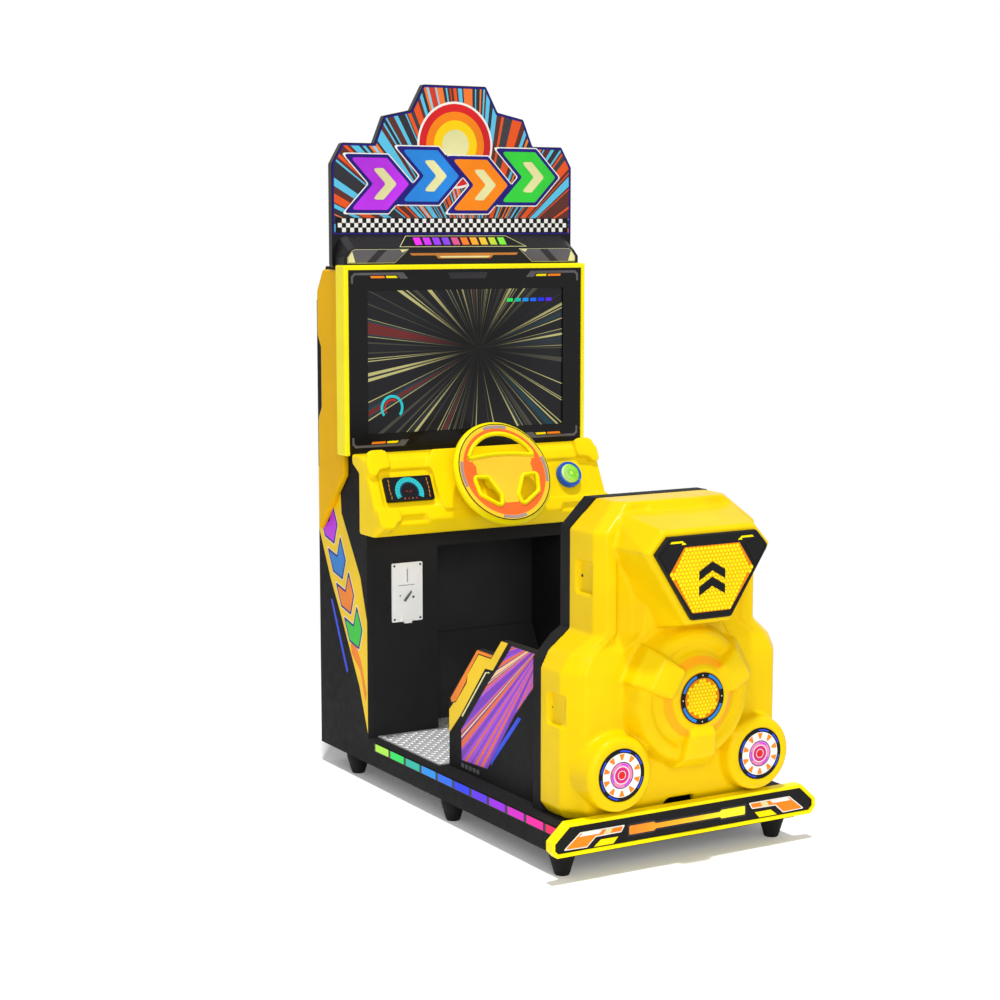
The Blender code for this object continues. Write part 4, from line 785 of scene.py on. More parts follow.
def from_build(name: str, build: bmesh.types.BMesh, smooth: bool = False) -> bpy.types.Object:
    """An object from a bmesh, which is freed."""
    mesh = bpy.data.meshes.new(name)
    for face in build.faces:
        face.smooth = smooth
    build.to_mesh(mesh)
    build.free()
    return linked(name, mesh)


def raise_layer(build: bmesh.types.BMesh, layer: Layer, index: int) -> None:
    """Adds a layer to a bmesh as one closed prism.

    Args:
        build: The bmesh.
        layer: The shape.
        index: Its material index.
    """
    lower: list[list[bmesh.types.BMVert]] = []
    edges = []
    for loop in layer.loops:
        ring = [build.verts.new((u, v, layer.low)) for u, v in loop]
        edges += [build.edges.new((a, b)) for a, b in zip(ring, ring[1:] + ring[:1])]
        lower.append(ring)
    filled = bmesh.ops.triangle_fill(build, edges=edges, use_beauty=True)
    floor = [item for item in filled["geom"] if isinstance(item, bmesh.types.BMFace)]
    upper = {vert: build.verts.new((vert.co.x, vert.co.y, layer.high)) for ring in lower for vert in ring}
    made = list(floor)
    made += [build.faces.new([upper[vert] for vert in face.verts]) for face in floor]
    for ring in lower:
        made += [build.faces.new((a, b, upper[b], upper[a])) for a, b in zip(ring, ring[1:] + ring[:1])]
    for face in made:
        face.material_index = index
    bmesh.ops.recalc_face_normals(build, faces=made)


def applied(name: str, face: Face, layers: Sequence[Layer]) -> bpy.types.Object:
    """A piece made of flat shapes on one face.

    Args:
        name: Name of the piece.
        face: The face that it lies on.
        layers: Its shapes.

    Returns:
        The object.
    """
    build = bmesh.new()
    finishes: list[Finish] = []
    for layer in layers:
        if layer.finish not in finishes:
            finishes.append(layer.finish)
        raise_layer(build, layer, finishes.index(layer.finish))
    bmesh.ops.transform(build, matrix=face.matrix(), verts=build.verts)
    made = from_build(name, build)
    for finish in finishes:
        made.data.materials.append(finish.material())
    return made


def lathe(name: str, rings: Sequence[Point2], segments: int, facets: int = 0) -> bpy.types.Object:
    """A small turned shape about Z, from (radius, height) rings listed from the outside in.

    Args:
        name: Name of the shape.
        rings: Radius and height of each ring; the last one is closed.
        segments: Points on each ring.
        facets: How many of the last rings are hexagons.

    Returns:
        The object.
    """
    build = bmesh.new()
    loops = []
    for level, (radius, height) in enumerate(rings):
        loop = []
        for index in range(segments):
            flat = level >= len(rings) - facets and index % 2
            reach = radius * (math.cos(math.pi / 6) if flat else 1.0)
            turn = 2 * math.pi * index / segments
            loop.append(build.verts.new((reach * math.cos(turn), reach * math.sin(turn), height)))
        loops.append(loop)
    for first, second in zip(loops, loops[1:]):
        for index in range(segments):
            after = (index + 1) % segments
            build.faces.new((first[index], first[after], second[after], second[index]))
    build.faces.new(loops[-1])
    build.faces.new(list(reversed(loops[0])))
    bmesh.ops.recalc_face_normals(build, faces=build.faces)
    return from_build(name, build)


def screw_head() -> bpy.types.Object:
    """A button head of radius 1 with a six-sided socket."""
    rings = [(1.0, 0.0), (1.0, 0.12), (0.86, 0.40), (0.60, 0.52), (0.46, 0.53), (0.44, 0.20)]
    return lathe("screw_shape", rings, 12, facets=2)


def six_sided_tile() -> bpy.types.Object:
    """A low hexagon of radius 1 with eased edges."""
    return lathe("tile_shape", [(1.0, 0.0), (1.0, 0.5), (0.86, 1.0)], 6)


def tread_bar() -> bpy.types.Object:
    """A raised lens-shaped bar of length 2 along X."""
    build = bmesh.new()
    low = [build.verts.new(p) for p in ((-1, 0, 0), (-0.45, -0.26, 0), (0.45, -0.26, 0), (1, 0, 0),
                                        (0.45, 0.26, 0), (-0.45, 0.26, 0))]
    top = [build.verts.new(p) for p in ((-0.62, 0, 1), (-0.32, -0.12, 1), (0.32, -0.12, 1), (0.62, 0, 1),
                                        (0.32, 0.12, 1), (-0.32, 0.12, 1))]
    build.faces.new(top)
    build.faces.new(list(reversed(low)))
    for index in range(6):
        after = (index + 1) % 6
        build.faces.new((low[index], low[after], top[after], top[index]))
    bmesh.ops.recalc_face_normals(build, faces=build.faces)
    return from_build("bar_shape", build)


class Tree:
    """A Geometry Nodes tree whose result is dressed in a finish."""

    def __init__(self, name: str, **inputs: str) -> None:
        """Starts the tree.

        Args:
            name: Name of the tree.
            inputs: Types of its own inputs, by their names.
        """
        self.tree = bpy.data.node_groups.new(name, "GeometryNodeTree")
        for label, kind in {"Geometry": "Geometry", **inputs, "Finish": "Material"}.items():
            self.tree.interface.new_socket(label, in_out="INPUT", socket_type="NodeSocket" + kind)
        self.tree.interface.new_socket("Geometry", in_out="OUTPUT", socket_type="NodeSocketGeometry")
        self.given = self.node("NodeGroupInput").outputs

    def node(self, kind: str, **sources: bpy.types.NodeSocket) -> bpy.types.Node:
        """Adds a node and links its inputs by their names."""
        made = self.tree.nodes.new(kind)
        for name, source in sources.items():
            self.tree.links.new(source, made.inputs[name])
        return made

    def close(self, result: bpy.types.NodeSocket) -> None:
        """Realizes and dresses what the tree makes."""
        realize = self.node("GeometryNodeRealizeInstances", Geometry=result)
        dress = self.node("GeometryNodeSetMaterial", Geometry=realize.outputs[0],
                          Material=self.given["Finish"])
        self.node("NodeGroupOutput", Geometry=dress.outputs[0])

    def run(self, mesh: bpy.types.Mesh, **values: object) -> bpy.types.Object:
        """Bakes the tree over a mesh.

        Args:
            mesh: The points or lines, with the name of the piece.
            values: What its inputs get, by their names.

        Returns:
            The baked object.
        """
        made = linked(mesh.name, mesh)
        modifier = made.modifiers.new("tree", "NODES")
        modifier.node_group = self.tree
        for item in self.tree.interface.items_tree:
            if item.in_out == "INPUT" and item.name in values:
                modifier[item.identifier] = values[item.name]
        bake(made)
        return made


class Repeater(Tree):
    """Sets one small shape on every point of a mesh."""

    def __init__(self) -> None:
        """Builds the tree."""
        super().__init__("repeat_on_points", Shape="Object", Size="Float")
        shape = self.node("GeometryNodeObjectInfo", Object=self.given["Shape"])
        rotation = self.node("FunctionNodeEulerToRotation", Euler=self._attribute("turn"))
        scale = self.node("ShaderNodeVectorMath", Vector=self._attribute("grow"))
        scale.operation = "SCALE"
        self.tree.links.new(self.given["Size"], scale.inputs["Scale"])
        instance = self.node("GeometryNodeInstanceOnPoints", Points=self.given["Geometry"],
                             Instance=shape.outputs["Geometry"], Rotation=rotation.outputs[0],
                             Scale=scale.outputs[0])
        self.close(instance.outputs[0])

    def _attribute(self, name: str) -> bpy.types.NodeSocket:
        """A vector attribute of the points."""
        made = self.node("GeometryNodeInputNamedAttribute")
        made.data_type = "FLOAT_VECTOR"
        made.inputs["Name"].default_value = name
        return made.outputs["Attribute"]

    def build(self, name: str, shape: bpy.types.Object, spots: Sequence[Spot], finish: Finish,
              size: float) -> bpy.types.Object:
        """Repeats a shape and bakes the result.

        Args:
            name: Name of the piece.
            shape: The small shape, which is removed.
            spots: Where the repeats go.
            finish: Their finish.
            size: Scale of every repeat.

        Returns:
            The baked object.
        """
        mesh = bpy.data.meshes.new(name)
        mesh.from_pydata([spot.place for spot in spots], [], [])
        for key, kind in (("turn", "FLOAT_VECTOR"), ("grow", "FLOAT_VECTOR"), ("tone", "FLOAT")):
            mesh.attributes.new(key, kind, "POINT")
        for index, spot in enumerate(spots):
            mesh.attributes["turn"].data[index].vector = spot.turn
            mesh.attributes["grow"].data[index].vector = spot.grow
            mesh.attributes["tone"].data[index].value = spot.tone
        made = self.run(mesh, Shape=shape, Size=size, Finish=finish.material())
        bpy.data.objects.remove(shape)
        return made


class Piping(Tree):
    """Runs a round bead along lines of points."""

    def __init__(self) -> None:
        """Builds the tree."""
        super().__init__("bead_on_line", Radius="Float")
        curve = self.node("GeometryNodeMeshToCurve", Mesh=self.given["Geometry"])
        profile = self.node("GeometryNodeCurvePrimitiveCircle", Radius=self.given["Radius"])
        profile.inputs["Resolution"].default_value = 10
        sources = {"Curve": curve.outputs[0], "Profile Curve": profile.outputs[0]}
        sweep = self.node("GeometryNodeCurveToMesh", **sources)
        sweep.inputs["Fill Caps"].default_value = True
        self.close(sweep.outputs[0])

    def build(self, name: str, lines: Sequence[Sequence[Vector]], radius: float,
              finish: Finish) -> bpy.types.Object:
        """Runs a bead along closed lines and bakes it.

        Args:
            name: Name of the piece.
            lines: The closed lines.
            radius: Radius of the bead.
            finish: Its finish.

        Returns:
            The baked object.
        """
        points: list[Vector] = []
        edges = []
        for line in lines:
            first = len(points)
            points += line
            edges += [(first + i, first + (i + 1) % len(line)) for i in range(len(line))]
        mesh = bpy.data.meshes.new(name)
        mesh.from_pydata(points, edges, [])
        made = self.run(mesh, Radius=radius, Finish=finish.material())
        smooth(made)
        return made


def bake(obj: bpy.types.Object) -> None:
    """Turns an object's evaluated shape into its plain mesh."""
    bpy.context.view_layer.update()
    graph = bpy.context.evaluated_depsgraph_get()
    mesh = bpy.data.meshes.new_from_object(obj.evaluated_get(graph), preserve_all_data_layers=True,
                                           depsgraph=graph)
    mesh.name = obj.name
    obj.modifiers.clear()
    obj.data = mesh


@dataclass
class Workshop:
    """What the sub-assemblies share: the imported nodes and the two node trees."""

    nodes: dict[str, bpy.types.Object]
    repeater: Repeater = field(default_factory=Repeater)
    piping: Piping = field(default_factory=Piping)

    def dress(self, finish: Finish, *names: str) -> None:
        """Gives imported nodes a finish."""
        for name in names:
            node = self.nodes[name]
            if not node.material_slots:
                node.data.materials.append(finish.material())
            for place in node.material_slots:
                place.material = finish.material()

    def settle(self, piece: bpy.types.Object, body: Body = Body.CABINET,
               stands_for: Sequence[str] = ()) -> bpy.types.Object:
        """Puts a finished piece on its body.

        Args:
            piece: The piece.
            body: The body that it rides on.
            stands_for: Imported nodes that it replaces.

        Returns:
            The piece.
        """
        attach(piece, body.value)
        if stands_for:
            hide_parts(*stands_for)
        LOG.info("%s on %s, %d faces", piece.name, body.value, len(piece.data.polygons))
        return piece

    def prints(self, name: str, face: Face, layers: Sequence[Layer],
               body: Body = Body.CABINET) -> bpy.types.Object:
        """A settled piece of flat shapes on a face."""
        return self.settle(applied(name, face, layers), body)

    def repeats(self, name: str, shape: bpy.types.Object, spots: Sequence[Spot], finish: Finish,
                size: float = 1.0, body: Body = Body.CABINET) -> bpy.types.Object:
        """A settled piece of repeats of one shape."""
        return self.settle(self.repeater.build(name, shape, spots, finish, size), body)

    def tiles(self, name: str, outline: Outline, height: float, spots: Sequence[Spot], finish: Finish,
              body: Body = Body.CABINET) -> bpy.types.Object:
        """A settled piece of repeats of one flat tile."""
        build = bmesh.new()
        raise_layer(build, flat(outline, finish, 0.0, height), 0)
        return self.repeats(name, from_build("tile_shape", build), spots, finish, body=body)

    def copy_of(self, name: str, node: str) -> bpy.types.Object:
        """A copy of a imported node, its loose triangles merged."""
        build = bmesh.new()
        build.from_mesh(self.nodes[node].data)
        bmesh.ops.remove_doubles(build, verts=build.verts, dist=0.00002)
        return from_build(name, build)

    def moulded(self, name: str, node: str, voxel: float, rounds: int, finish: Finish,
                body: Body = Body.CABINET, extra: bpy.types.Object | None = None) -> bpy.types.Object:
        """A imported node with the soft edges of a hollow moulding, which stands for it.

        Args:
            name: Name of the piece.
            node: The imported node.
            voxel: Size of the new faces.
            rounds: How often they are smoothed.
            finish: Its finish.
            body: The body that it rides on.
            extra: Closed shapes that grow into the skin; the object is removed.

        Returns:
            The settled piece.
        """
        made = self.copy_of(name, node)
        if extra:
            build = bmesh.new()
            build.from_mesh(made.data)
            build.from_mesh(extra.data)
            build.to_mesh(made.data)
            build.free()
            bpy.data.objects.remove(extra)
        reskin(made, voxel)
        soften = made.modifiers.new("soften", "SMOOTH")
        soften.factor = 0.5
        soften.iterations = rounds
        bake(made)
        smooth(made, finish)
        return self.settle(made, body, [node])


@dataclass
class Studio:
    """Camera, light, floor and background."""

    place: Point3 = (-2.6681, -4.2862, 1.4260)
    pitch: float = 7.49
    yaw: float = 30.42
    lens: float = 74.473
    sensor: float = 36.0
    sky: float = 0.42
    sun_power: float = 2.2
    sun_spread: float = 3.0
    sun_tilt: Point2 = (9.0, -5.0)
    fill_place: Point3 = (-2.2, -4.9, 2.2)
    fill_target: Point3 = (0.0, 0.0, 0.7)
    fill_side: float = 2.6
    fill_power: float = 125.0
    floor_half: float = 14.0
    fade: Point2 = (0.95, 1.9)

    def build(self) -> None:
        """Builds the whole setting."""
        self._camera()
        self._world()
        self._sun()
        self._fill()
        self._floor()

    def _camera(self) -> None:
        """The photograph's camera."""
        data = bpy.data.cameras.new("photo_camera")
        data.lens = self.lens
        data.sensor_width = self.sensor
        camera = linked("photo_camera", data)
        camera.location = self.place
        camera.rotation_euler = (math.radians(90 - self.pitch), 0.0, math.radians(-self.yaw))
        bpy.context.scene.camera = camera
        bpy.context.scene.view_settings.view_transform = "Standard"

    def _world(self) -> None:
        """Even light, white where the camera, a reflection or a clear piece sees it."""
        world = bpy.data.worlds.new("studio_world")
        bpy.context.scene.world = world
        world.use_nodes = True
        tree = world.node_tree
        tree.nodes.clear()
        path = tree.nodes.new("ShaderNodeLightPath")
        seen = path.outputs["Is Camera Ray"]
        for ray in ("Is Glossy Ray", "Is Transmission Ray"):
            either = tree.nodes.new("ShaderNodeMath")
            either.operation = "MAXIMUM"
            tree.links.new(seen, either.inputs[0])
            tree.links.new(path.outputs[ray], either.inputs[1])
            seen = either.outputs[0]
        strength = tree.nodes.new("ShaderNodeMapRange")
        strength.inputs["To Min"].default_value = self.sky
        background = tree.nodes.new("ShaderNodeBackground")
        background.inputs["Color"].default_value = (1, 1, 1, 1)
        output = tree.nodes.new("ShaderNodeOutputWorld")
        tree.links.new(seen, strength.inputs["Value"])
        tree.links.new(strength.outputs[0], background.inputs["Strength"])
        tree.links.new(background.outputs[0], output.inputs["Surface"])

    def _sun(self) -> None:
        """Straight light from above, which keeps the shadow under the cabinet."""
        data = bpy.data.lights.new("overhead_light", "SUN")
        data.energy = self.sun_power
        data.angle = math.radians(self.sun_spread)
        lamp = linked("overhead_light", data)
        lamp.location = (0.0, 0.0, 4.0)
        lamp.rotation_euler = (math.radians(self.sun_tilt[0]), math.radians(self.sun_tilt[1]), 0.0)

    def _fill(self) -> None:
        """A soft square lamp in front that looks at the cabinet."""
        data = bpy.data.lights.new("front_fill", "AREA")
        data.size = self.fill_side
        data.energy = self.fill_power
        lamp = linked("front_fill", data)
        lamp.location = self.fill_place
        way = Vector(self.fill_target) - Vector(self.fill_place)
        lamp.rotation_euler = way.to_track_quat("-Z", "Y").to_euler()

    def _floor(self) -> None:
        """A pale floor that fades into the white background and keeps the shadow."""
        build = bmesh.new()
        bmesh.ops.create_grid(build, x_segments=1, y_segments=1, size=self.floor_half)
        floor = from_build("studio_floor", build)
        wiring = Wiring("studio_floor")
        tone = wiring.ramp(wiring.noise(0.4), ((0.4, (247, 247, 247)), (0.6, (250, 250, 250))))
        for key, value in (("Base Color", tone), ("Roughness", 0.8), ("Specular IOR Level", 0.1),
                           ("Emission Color", (1, 1, 1, 1)), ("Emission Strength", 0.10)):
            wiring.feed(wiring.shader.inputs[key], value)
        glow = wiring.node("Emission", (1, 1, 1, 1), 1.0)
        reach = wiring.node("VectorMath", wiring.place(), operation="LENGTH").outputs["Value"]
        fade = wiring.span(reach, self.fade[0], self.fade[1])
        mixed = wiring.node("MixShader", fade, wiring.shader.outputs[0], glow.outputs[0])
        wiring.feed(wiring.output.inputs["Surface"], mixed.outputs[0])
        floor.data.materials.append(wiring.material)


@dataclass
class Platform:
    """The base: lit blocks, tread pattern and the bumper's lamps."""

    led_face: float = 0.325
    led_mid_z: float = 0.1070
    led_span: Point2 = (-0.5745, 0.3385)
    led_rise: Point2 = (0.0952, 0.1158)
    led_ends: tuple[Point2, ...] = ((0.2925, 0.3400), (-0.5725, -0.5485))
    body_half: float = 0.322
    led_blocks: int = 11
    block_size: Point2 = (0.0705, 0.0180)
    tread_top: float = 0.1233
    tread_x: Point2 = (-0.287, 0.293)
    tread_y: Point2 = (0.060, 0.372)
    well_x: Point2 = (-0.091, 0.293)
    well_y: Point2 = (0.386, 0.462)
    tread_pitch: float = 0.0150
    bar_half: float = 0.0074
    bar_height: float = 0.17
    bumper_floor: float = -0.581
    bumper_half: tuple[Point2, ...] = ((0.350, 0.0636), (0.3635, 0.078), (0.3635, 0.0995), (0.3214, 0.1377))

    def build(self, shop: Workshop) -> None:
        """Builds every piece of the base."""
        for side in Side:
            self._lit_blocks(shop, side)
        self._tread(shop)
        self._bumper(shop)

    def _lit_blocks(self, shop: Workshop, side: Side) -> None:
        """A row of coloured blocks on the smoked cover, and the cover's ends."""
        face = facing_out(side, self.led_face)
        depth = self.led_face - self.body_half
        ends = [flat(on_side(side, rectangle(span, self.led_rise)), LED_COVER, 0.0001, depth)
                for span in self.led_ends]
        shop.prints(f"lit_strip_ends_{side.label}", facing_out(side, self.body_half), ends)
        spots = []
        for index in range(self.led_blocks):
            share = (index + 0.5) / self.led_blocks
            y = self.led_span[1] + (self.led_span[0] - self.led_span[1]) * share
            tone = index / (self.led_blocks - 1)
            spots.append(face.spot(side.value * y, self.led_mid_z, 0.0001, tone=tone))
        tile = rounded(oblong(*self.block_size), 0.0022, 3)
        shop.tiles(f"lit_blocks_{side.label}", tile, 0.0008, spots, SPECTRUM)

    def _tread(self, shop: Workshop) -> None:
        """Raised bars on the tread plate, each turned against its neighbour."""
        face = Face(Vector((0, 0, self.tread_top)), Vector((1, 0, 0)), Vector((0, 1, 0)))
        spots = []
        for across, along in ((self.tread_x, self.tread_y), (self.well_x, self.well_y)):
            columns = int((across[1] - across[0]) / self.tread_pitch)
            rows = int((along[1] - along[0]) / self.tread_pitch)
            for row in range(rows + 1):
                for column in range(columns + 1):
                    spin = 45 if (row + column) % 2 else -45
                    u = across[0] + self.tread_pitch * column
                    v = along[0] + self.tread_pitch * row
                    spots.append(face.spot(u, v, spin=spin, grow=(1.0, 1.0, self.bar_height)))
        shop.repeats("tread_bars", tread_bar(), spots, ALUMINIUM, size=self.bar_half)

    def _bumper(self, shop: Workshop) -> None:
        """Black field in the bumper's rim, with lamp shapes and a middle bar."""
        layers = [flat(inset(mirrored(list(self.bumper_half)), 0.0084), PRINT_BLACK)]
        lamp = [(0.333, 0.0777), (0.289, 0.1130), (0.171, 0.1130), (0.181, 0.0975), (0.248, 0.0965),
                (0.271, 0.0763)]
        flash = [(0.253, 0.0748), (0.235, 0.0888), (0.189, 0.0888), (0.202, 0.0748)]
        gleam = [(0.283, 0.1105), (0.232, 0.1105), (0.240, 0.1035), (0.292, 0.1035)]
        stroke = [(0.222, 0.1105), (0.204, 0.1105), (0.211, 0.1000), (0.229, 0.1000)]
        layers += pair(rounded(lamp, 0.002, 2), PRINT_WHITE, 0.0006, 0.0010)
        layers += pair(rounded(inset(lamp, 0.0026), 0.002, 2), PRINT_ORANGE, 0.0011, 0.0015)
        layers += pair(gleam, PRINT_WHITE, 0.0016, 0.0019)
        layers += pair(stroke, PRINT_CREAM, 0.0016, 0.0019)
        layers += pair(flash, BRIGHT_YELLOW, 0.0006, 0.0012)
        low, high, step = 0.0885, 0.1085, 0.0042
        bar = mirrored([(0.088, low + step), (0.094, low), (0.160, low), (0.160, high), (0.094, high),
                        (0.088, high - step)])
        layers.append(flat(rounded(inset(bar, -step), 0.003, 2), PRINT_DARK, 0.0006, 0.0010))
        layers.append(flat(rounded(bar, 0.0025, 2), BAR_BLEND, 0.0011, 0.0018))
        shop.prints("bumper_field", facing_seat(self.bumper_floor), layers)


@dataclass
class Tower:
    """The screen tower's sides, coin plate, pedal and rear."""

    side_face: float = 0.322
    stripe: tuple[Point2, ...] = (
        (0.6592, 0.800), (0.6592, 0.633), (0.5945, 0.511), (0.5315, 0.417), (0.4285, 0.249),
        (0.3818, 0.133), (0.3818, 0.425), (0.4179, 0.5344), (0.5247, 0.6908), (0.5340, 0.800),
    )
    line: tuple[Point2, ...] = ((0.5940, 0.4530), (0.5830, 0.4530), (0.4940, 0.2790), (0.4985, 0.2700),
                                (0.5060, 0.2760))
    accent: tuple[Point2, ...] = (
        (0.4764, 0.3535), (0.4517, 0.3606), (0.4162, 0.3143), (0.3875, 0.2367), (0.3939, 0.2132),
        (0.4227, 0.2909), (0.4708, 0.3266),
    )
    rear_face: float = 0.653
    coin_face: float = 0.3762
    pedal_pivot: Point3 = (0.1275, 0.432, 0.1415)
    pedal_half: float = 0.0375
    pedal_rise: float = math.radians(70)
    pedal_face: float = 0.004
    rib_span: Point2 = (0.036, 0.141)
    ribs: int = 8

    def build(self, shop: Workshop) -> None:
        """Builds every piece of the tower."""
        for side in Side:
            self._stripe(shop, side)
            shop.moulded(f"side_moulding_{side.label}", f"side_cover_{side.label}", 0.0026, 3, COVER_YELLOW)
        self._coin_plate(shop)
        self._pedal(shop)
        self._rear(shop)

    def _stripe(self, shop: Workshop, side: Side) -> None:
        """A broad slanting stripe with four road-sign arrows."""
        low, high = 0.00004, 0.0002
        layers = [flat(on_side(side, list(self.stripe)), PRINT_YELLOW, low, high)]
        places = ((0.592, 0.648), (0.545, 0.560), (0.498, 0.474), (0.452, 0.390))
        for finish, place in zip(TILE_INKS, places):
            shape = on_side(side, arrow(place, 0.088, 0.076, 242))
            layers += stacked(shape, 0.004, 0.00014, (
                (-0.0075, PRINT_WHITE, 0.00024), (-0.0055, PRINT_NAVY, 0.00042), (0.0, finish, 0.0006)))
        layers.append(flat(on_side(side, list(self.line)), PRINT_BLUE, low, high))
        layers.append(flat(on_side(side, list(self.accent)), PRINT_ORANGE, 0.00024, 0.0004))
        shop.prints(f"side_stripe_{side.label}", facing_out(side, self.side_face), layers)

    def _coin_plate(self, shop: Workshop) -> None:
        """Slot trim, corner screws and the reject stop on the white plate."""
        face = facing_seat(self.coin_face)
        places = ((-0.2452, 0.5642), (-0.1703, 0.5642), (-0.2452, 0.4243), (-0.1703, 0.4243))
        corners = [face.spot(u, v, spin=17 * i) for i, (u, v) in enumerate(places)]
        shop.repeats("coin_plate_screws", screw_head(), corners, DARK_STEEL, size=0.0030)
        slot = (-0.2078, 0.538)
        frame = rounded(oblong(0.0104, 0.0410, slot), 0.003, 4)
        hole = rounded(oblong(0.0044, 0.0350, slot), 0.001, 2)
        shelf = rectangle((slot[0] - 0.026, slot[0] + 0.020), (slot[1] - 0.0262, slot[1] - 0.0250))
        lip = rounded(rectangle((slot[0] - 0.017, slot[0] + 0.017), (0.4185, 0.4330)), 0.005, 4)
        layers = [
            Layer((frame, hole), WHITE_PAINT, 0.0001, 0.0016),
            flat(shelf, PRINT_GREY, 0.0001, 0.0006),
            Layer((lip, inset(lip, 0.0024)), WHITE_PAINT, 0.0001, 0.0022),
            flat(circle((-0.1910, 0.4803), 0.0032, 20), STEEL, 0.0001, 0.0014),
            flat(circle((-0.2290, 0.486), 0.0022, 16), STEEL, 0.0001, 0.0010),
        ]
        shop.prints("coin_slot_trim", face, layers)

    def _pedal(self, shop: Workshop) -> None:
        """A rubber sheet with cross ribs on the pedal's face."""
        along = Vector((0, math.cos(self.pedal_rise), math.sin(self.pedal_rise)))
        face = Face(Vector(self.pedal_pivot), Vector((1, 0, 0)), along)
        low, high = self.rib_span
        half = self.pedal_half - 0.004
        sheet = rounded(rectangle((-half, half), (low - 0.007, high + 0.005)), 0.006, 4)
        base = flat(sheet, RUBBER, self.pedal_face + 0.0001, self.pedal_face + 0.0012)
        shop.prints("pedal_sheet", face, [base], Body.PEDAL)
        step = (high - low) / (self.ribs - 1)
        spots = [face.spot(0.0, low + step * index, self.pedal_face + 0.0012) for index in range(self.ribs)]
        rib = rounded(rectangle((0.004 - half, half - 0.004), (-0.0028, 0.0028)), 0.0024, 4)
        shop.tiles("pedal_ribs", rib, 0.0018, spots, RUBBER, Body.PEDAL)

    def _rear(self, shop: Workshop) -> None:
        """Screws round the rear panel and in the door's corners, and the lock's dark finish."""
        face = facing_rear(self.rear_face)
        spots = []
        for x in (-0.292, 0.292):
            spots += [face.spot(x, z, spin=z * 400) for z in (0.10, 0.30, 0.50, 0.70, 0.90, 1.10, 1.215)]
        spots += [face.spot(x, 1.215, spin=x * 300) for x in (-0.15, 0.0, 0.15)]
        shop.repeats("rear_screws", screw_head(), spots, DARK_STEEL, size=0.0048)
        door = [face.spot(x, z, spin=x * 500) for x in (-0.203, 0.196) for z in (0.357, 1.003)]
        shop.repeats("door_screws", screw_head(), door, DARK_STEEL, size=0.0042, body=Body.DOOR)
        shop.dress(DARK_STEEL, "door_lock")


@dataclass
class ScreenFront:
    """The bezel's corner marks and the lit picture."""

    mask_face: float = 0.4225
    glass_face: float = 0.4287
    width: float = 0.5835
    height: float = 0.3645
    mid_z: float = 1.0855
    panel_end_x: Point2 = (0.1936, 0.3020)
    panel_end_z: Point2 = (0.8925, 1.2785)
    panel_end_back: float = 0.4618
    panel_end_depth: float = 0.0329
    top_z: float = 1.3138
    foot_z: float = 0.8690

    def build(self, shop: Workshop) -> None:
        """Builds the marks and the picture."""
        shop.dress(RIM_YELLOW, "bezel_rim")
        self._marks(shop)
        self._picture(shop)

    def _marks(self, shop: Workshop) -> None:
        """Grey brackets with orange and yellow dashes in the four corners, and a plate at the top."""
        bracket = ((-0.3390, 0.0270), (-0.3390, 0.0085), (-0.3300, 0.0), (-0.1900, 0.0), (-0.1760, 0.0160),
                   (-0.1990, 0.0160), (-0.2080, 0.0062), (-0.3270, 0.0062), (-0.3335, 0.0120),
                   (-0.3335, 0.0270))
        amber = ((-0.2850, 0.0085), (-0.2455, 0.0085), (-0.2425, 0.0140), (-0.2820, 0.0140))
        lemon = ((-0.2405, 0.0085), (-0.2105, 0.0085), (-0.2060, 0.0140), (-0.2375, 0.0140))
        layers = []
        for edge, way in ((self.top_z, -1.0), (self.foot_z, 1.0)):
            for shape, finish in ((bracket, PRINT_GREY), (amber, PRINT_ORANGE), (lemon, BRIGHT_YELLOW)):
                layers += pair([(u, edge + way * depth) for u, depth in shape], finish)
        plate = rounded([(-0.052, 1.2960), (0.052, 1.2960), (0.060, 1.3120), (-0.060, 1.3120)], 0.003, 3)
        layers.append(flat(plate, PRINT_DARK))
        shop.prints("bezel_marks", facing_seat(self.mask_face), layers)

    def _picture(self, shop: Workshop) -> None:
        """A lit abstract of rays with a row of blocks and two arcs, and the blocks that carry its ends."""
        face = facing_seat(self.glass_face)
        middle = (-0.222, 0.968)
        layers = [
            flat(oblong(self.width, self.height, (0.0, self.mid_z)), SCREEN_BURST, 0.0001, 0.0008),
            flat(band(middle, 0.026, 0.033, -40, 220, 30), GAUGE_CYAN, 0.0010, 0.0014),
            flat(band(middle, 0.019, 0.022, 60, 220, 20), GAUGE_RED, 0.0010, 0.0014),
        ]
        shop.prints("screen_picture", face, layers)
        end = rounded(rectangle(self.panel_end_x, self.panel_end_z), 0.004, 3)
        blocks = pair(end, BLACK_PLASTIC, 0.0, self.panel_end_depth)
        shop.prints("screen_panel_ends", facing_seat(self.panel_end_back), blocks)
        tile = rounded(oblong(0.018, 0.009), 0.0015, 2)
        spots = [face.spot(0.130 + 0.024 * i, 1.238, 0.0010, tone=0.1 + 0.1 * i) for i in range(6)]
        shop.tiles("screen_blocks", tile, 0.0004, spots, SPECTRUM)


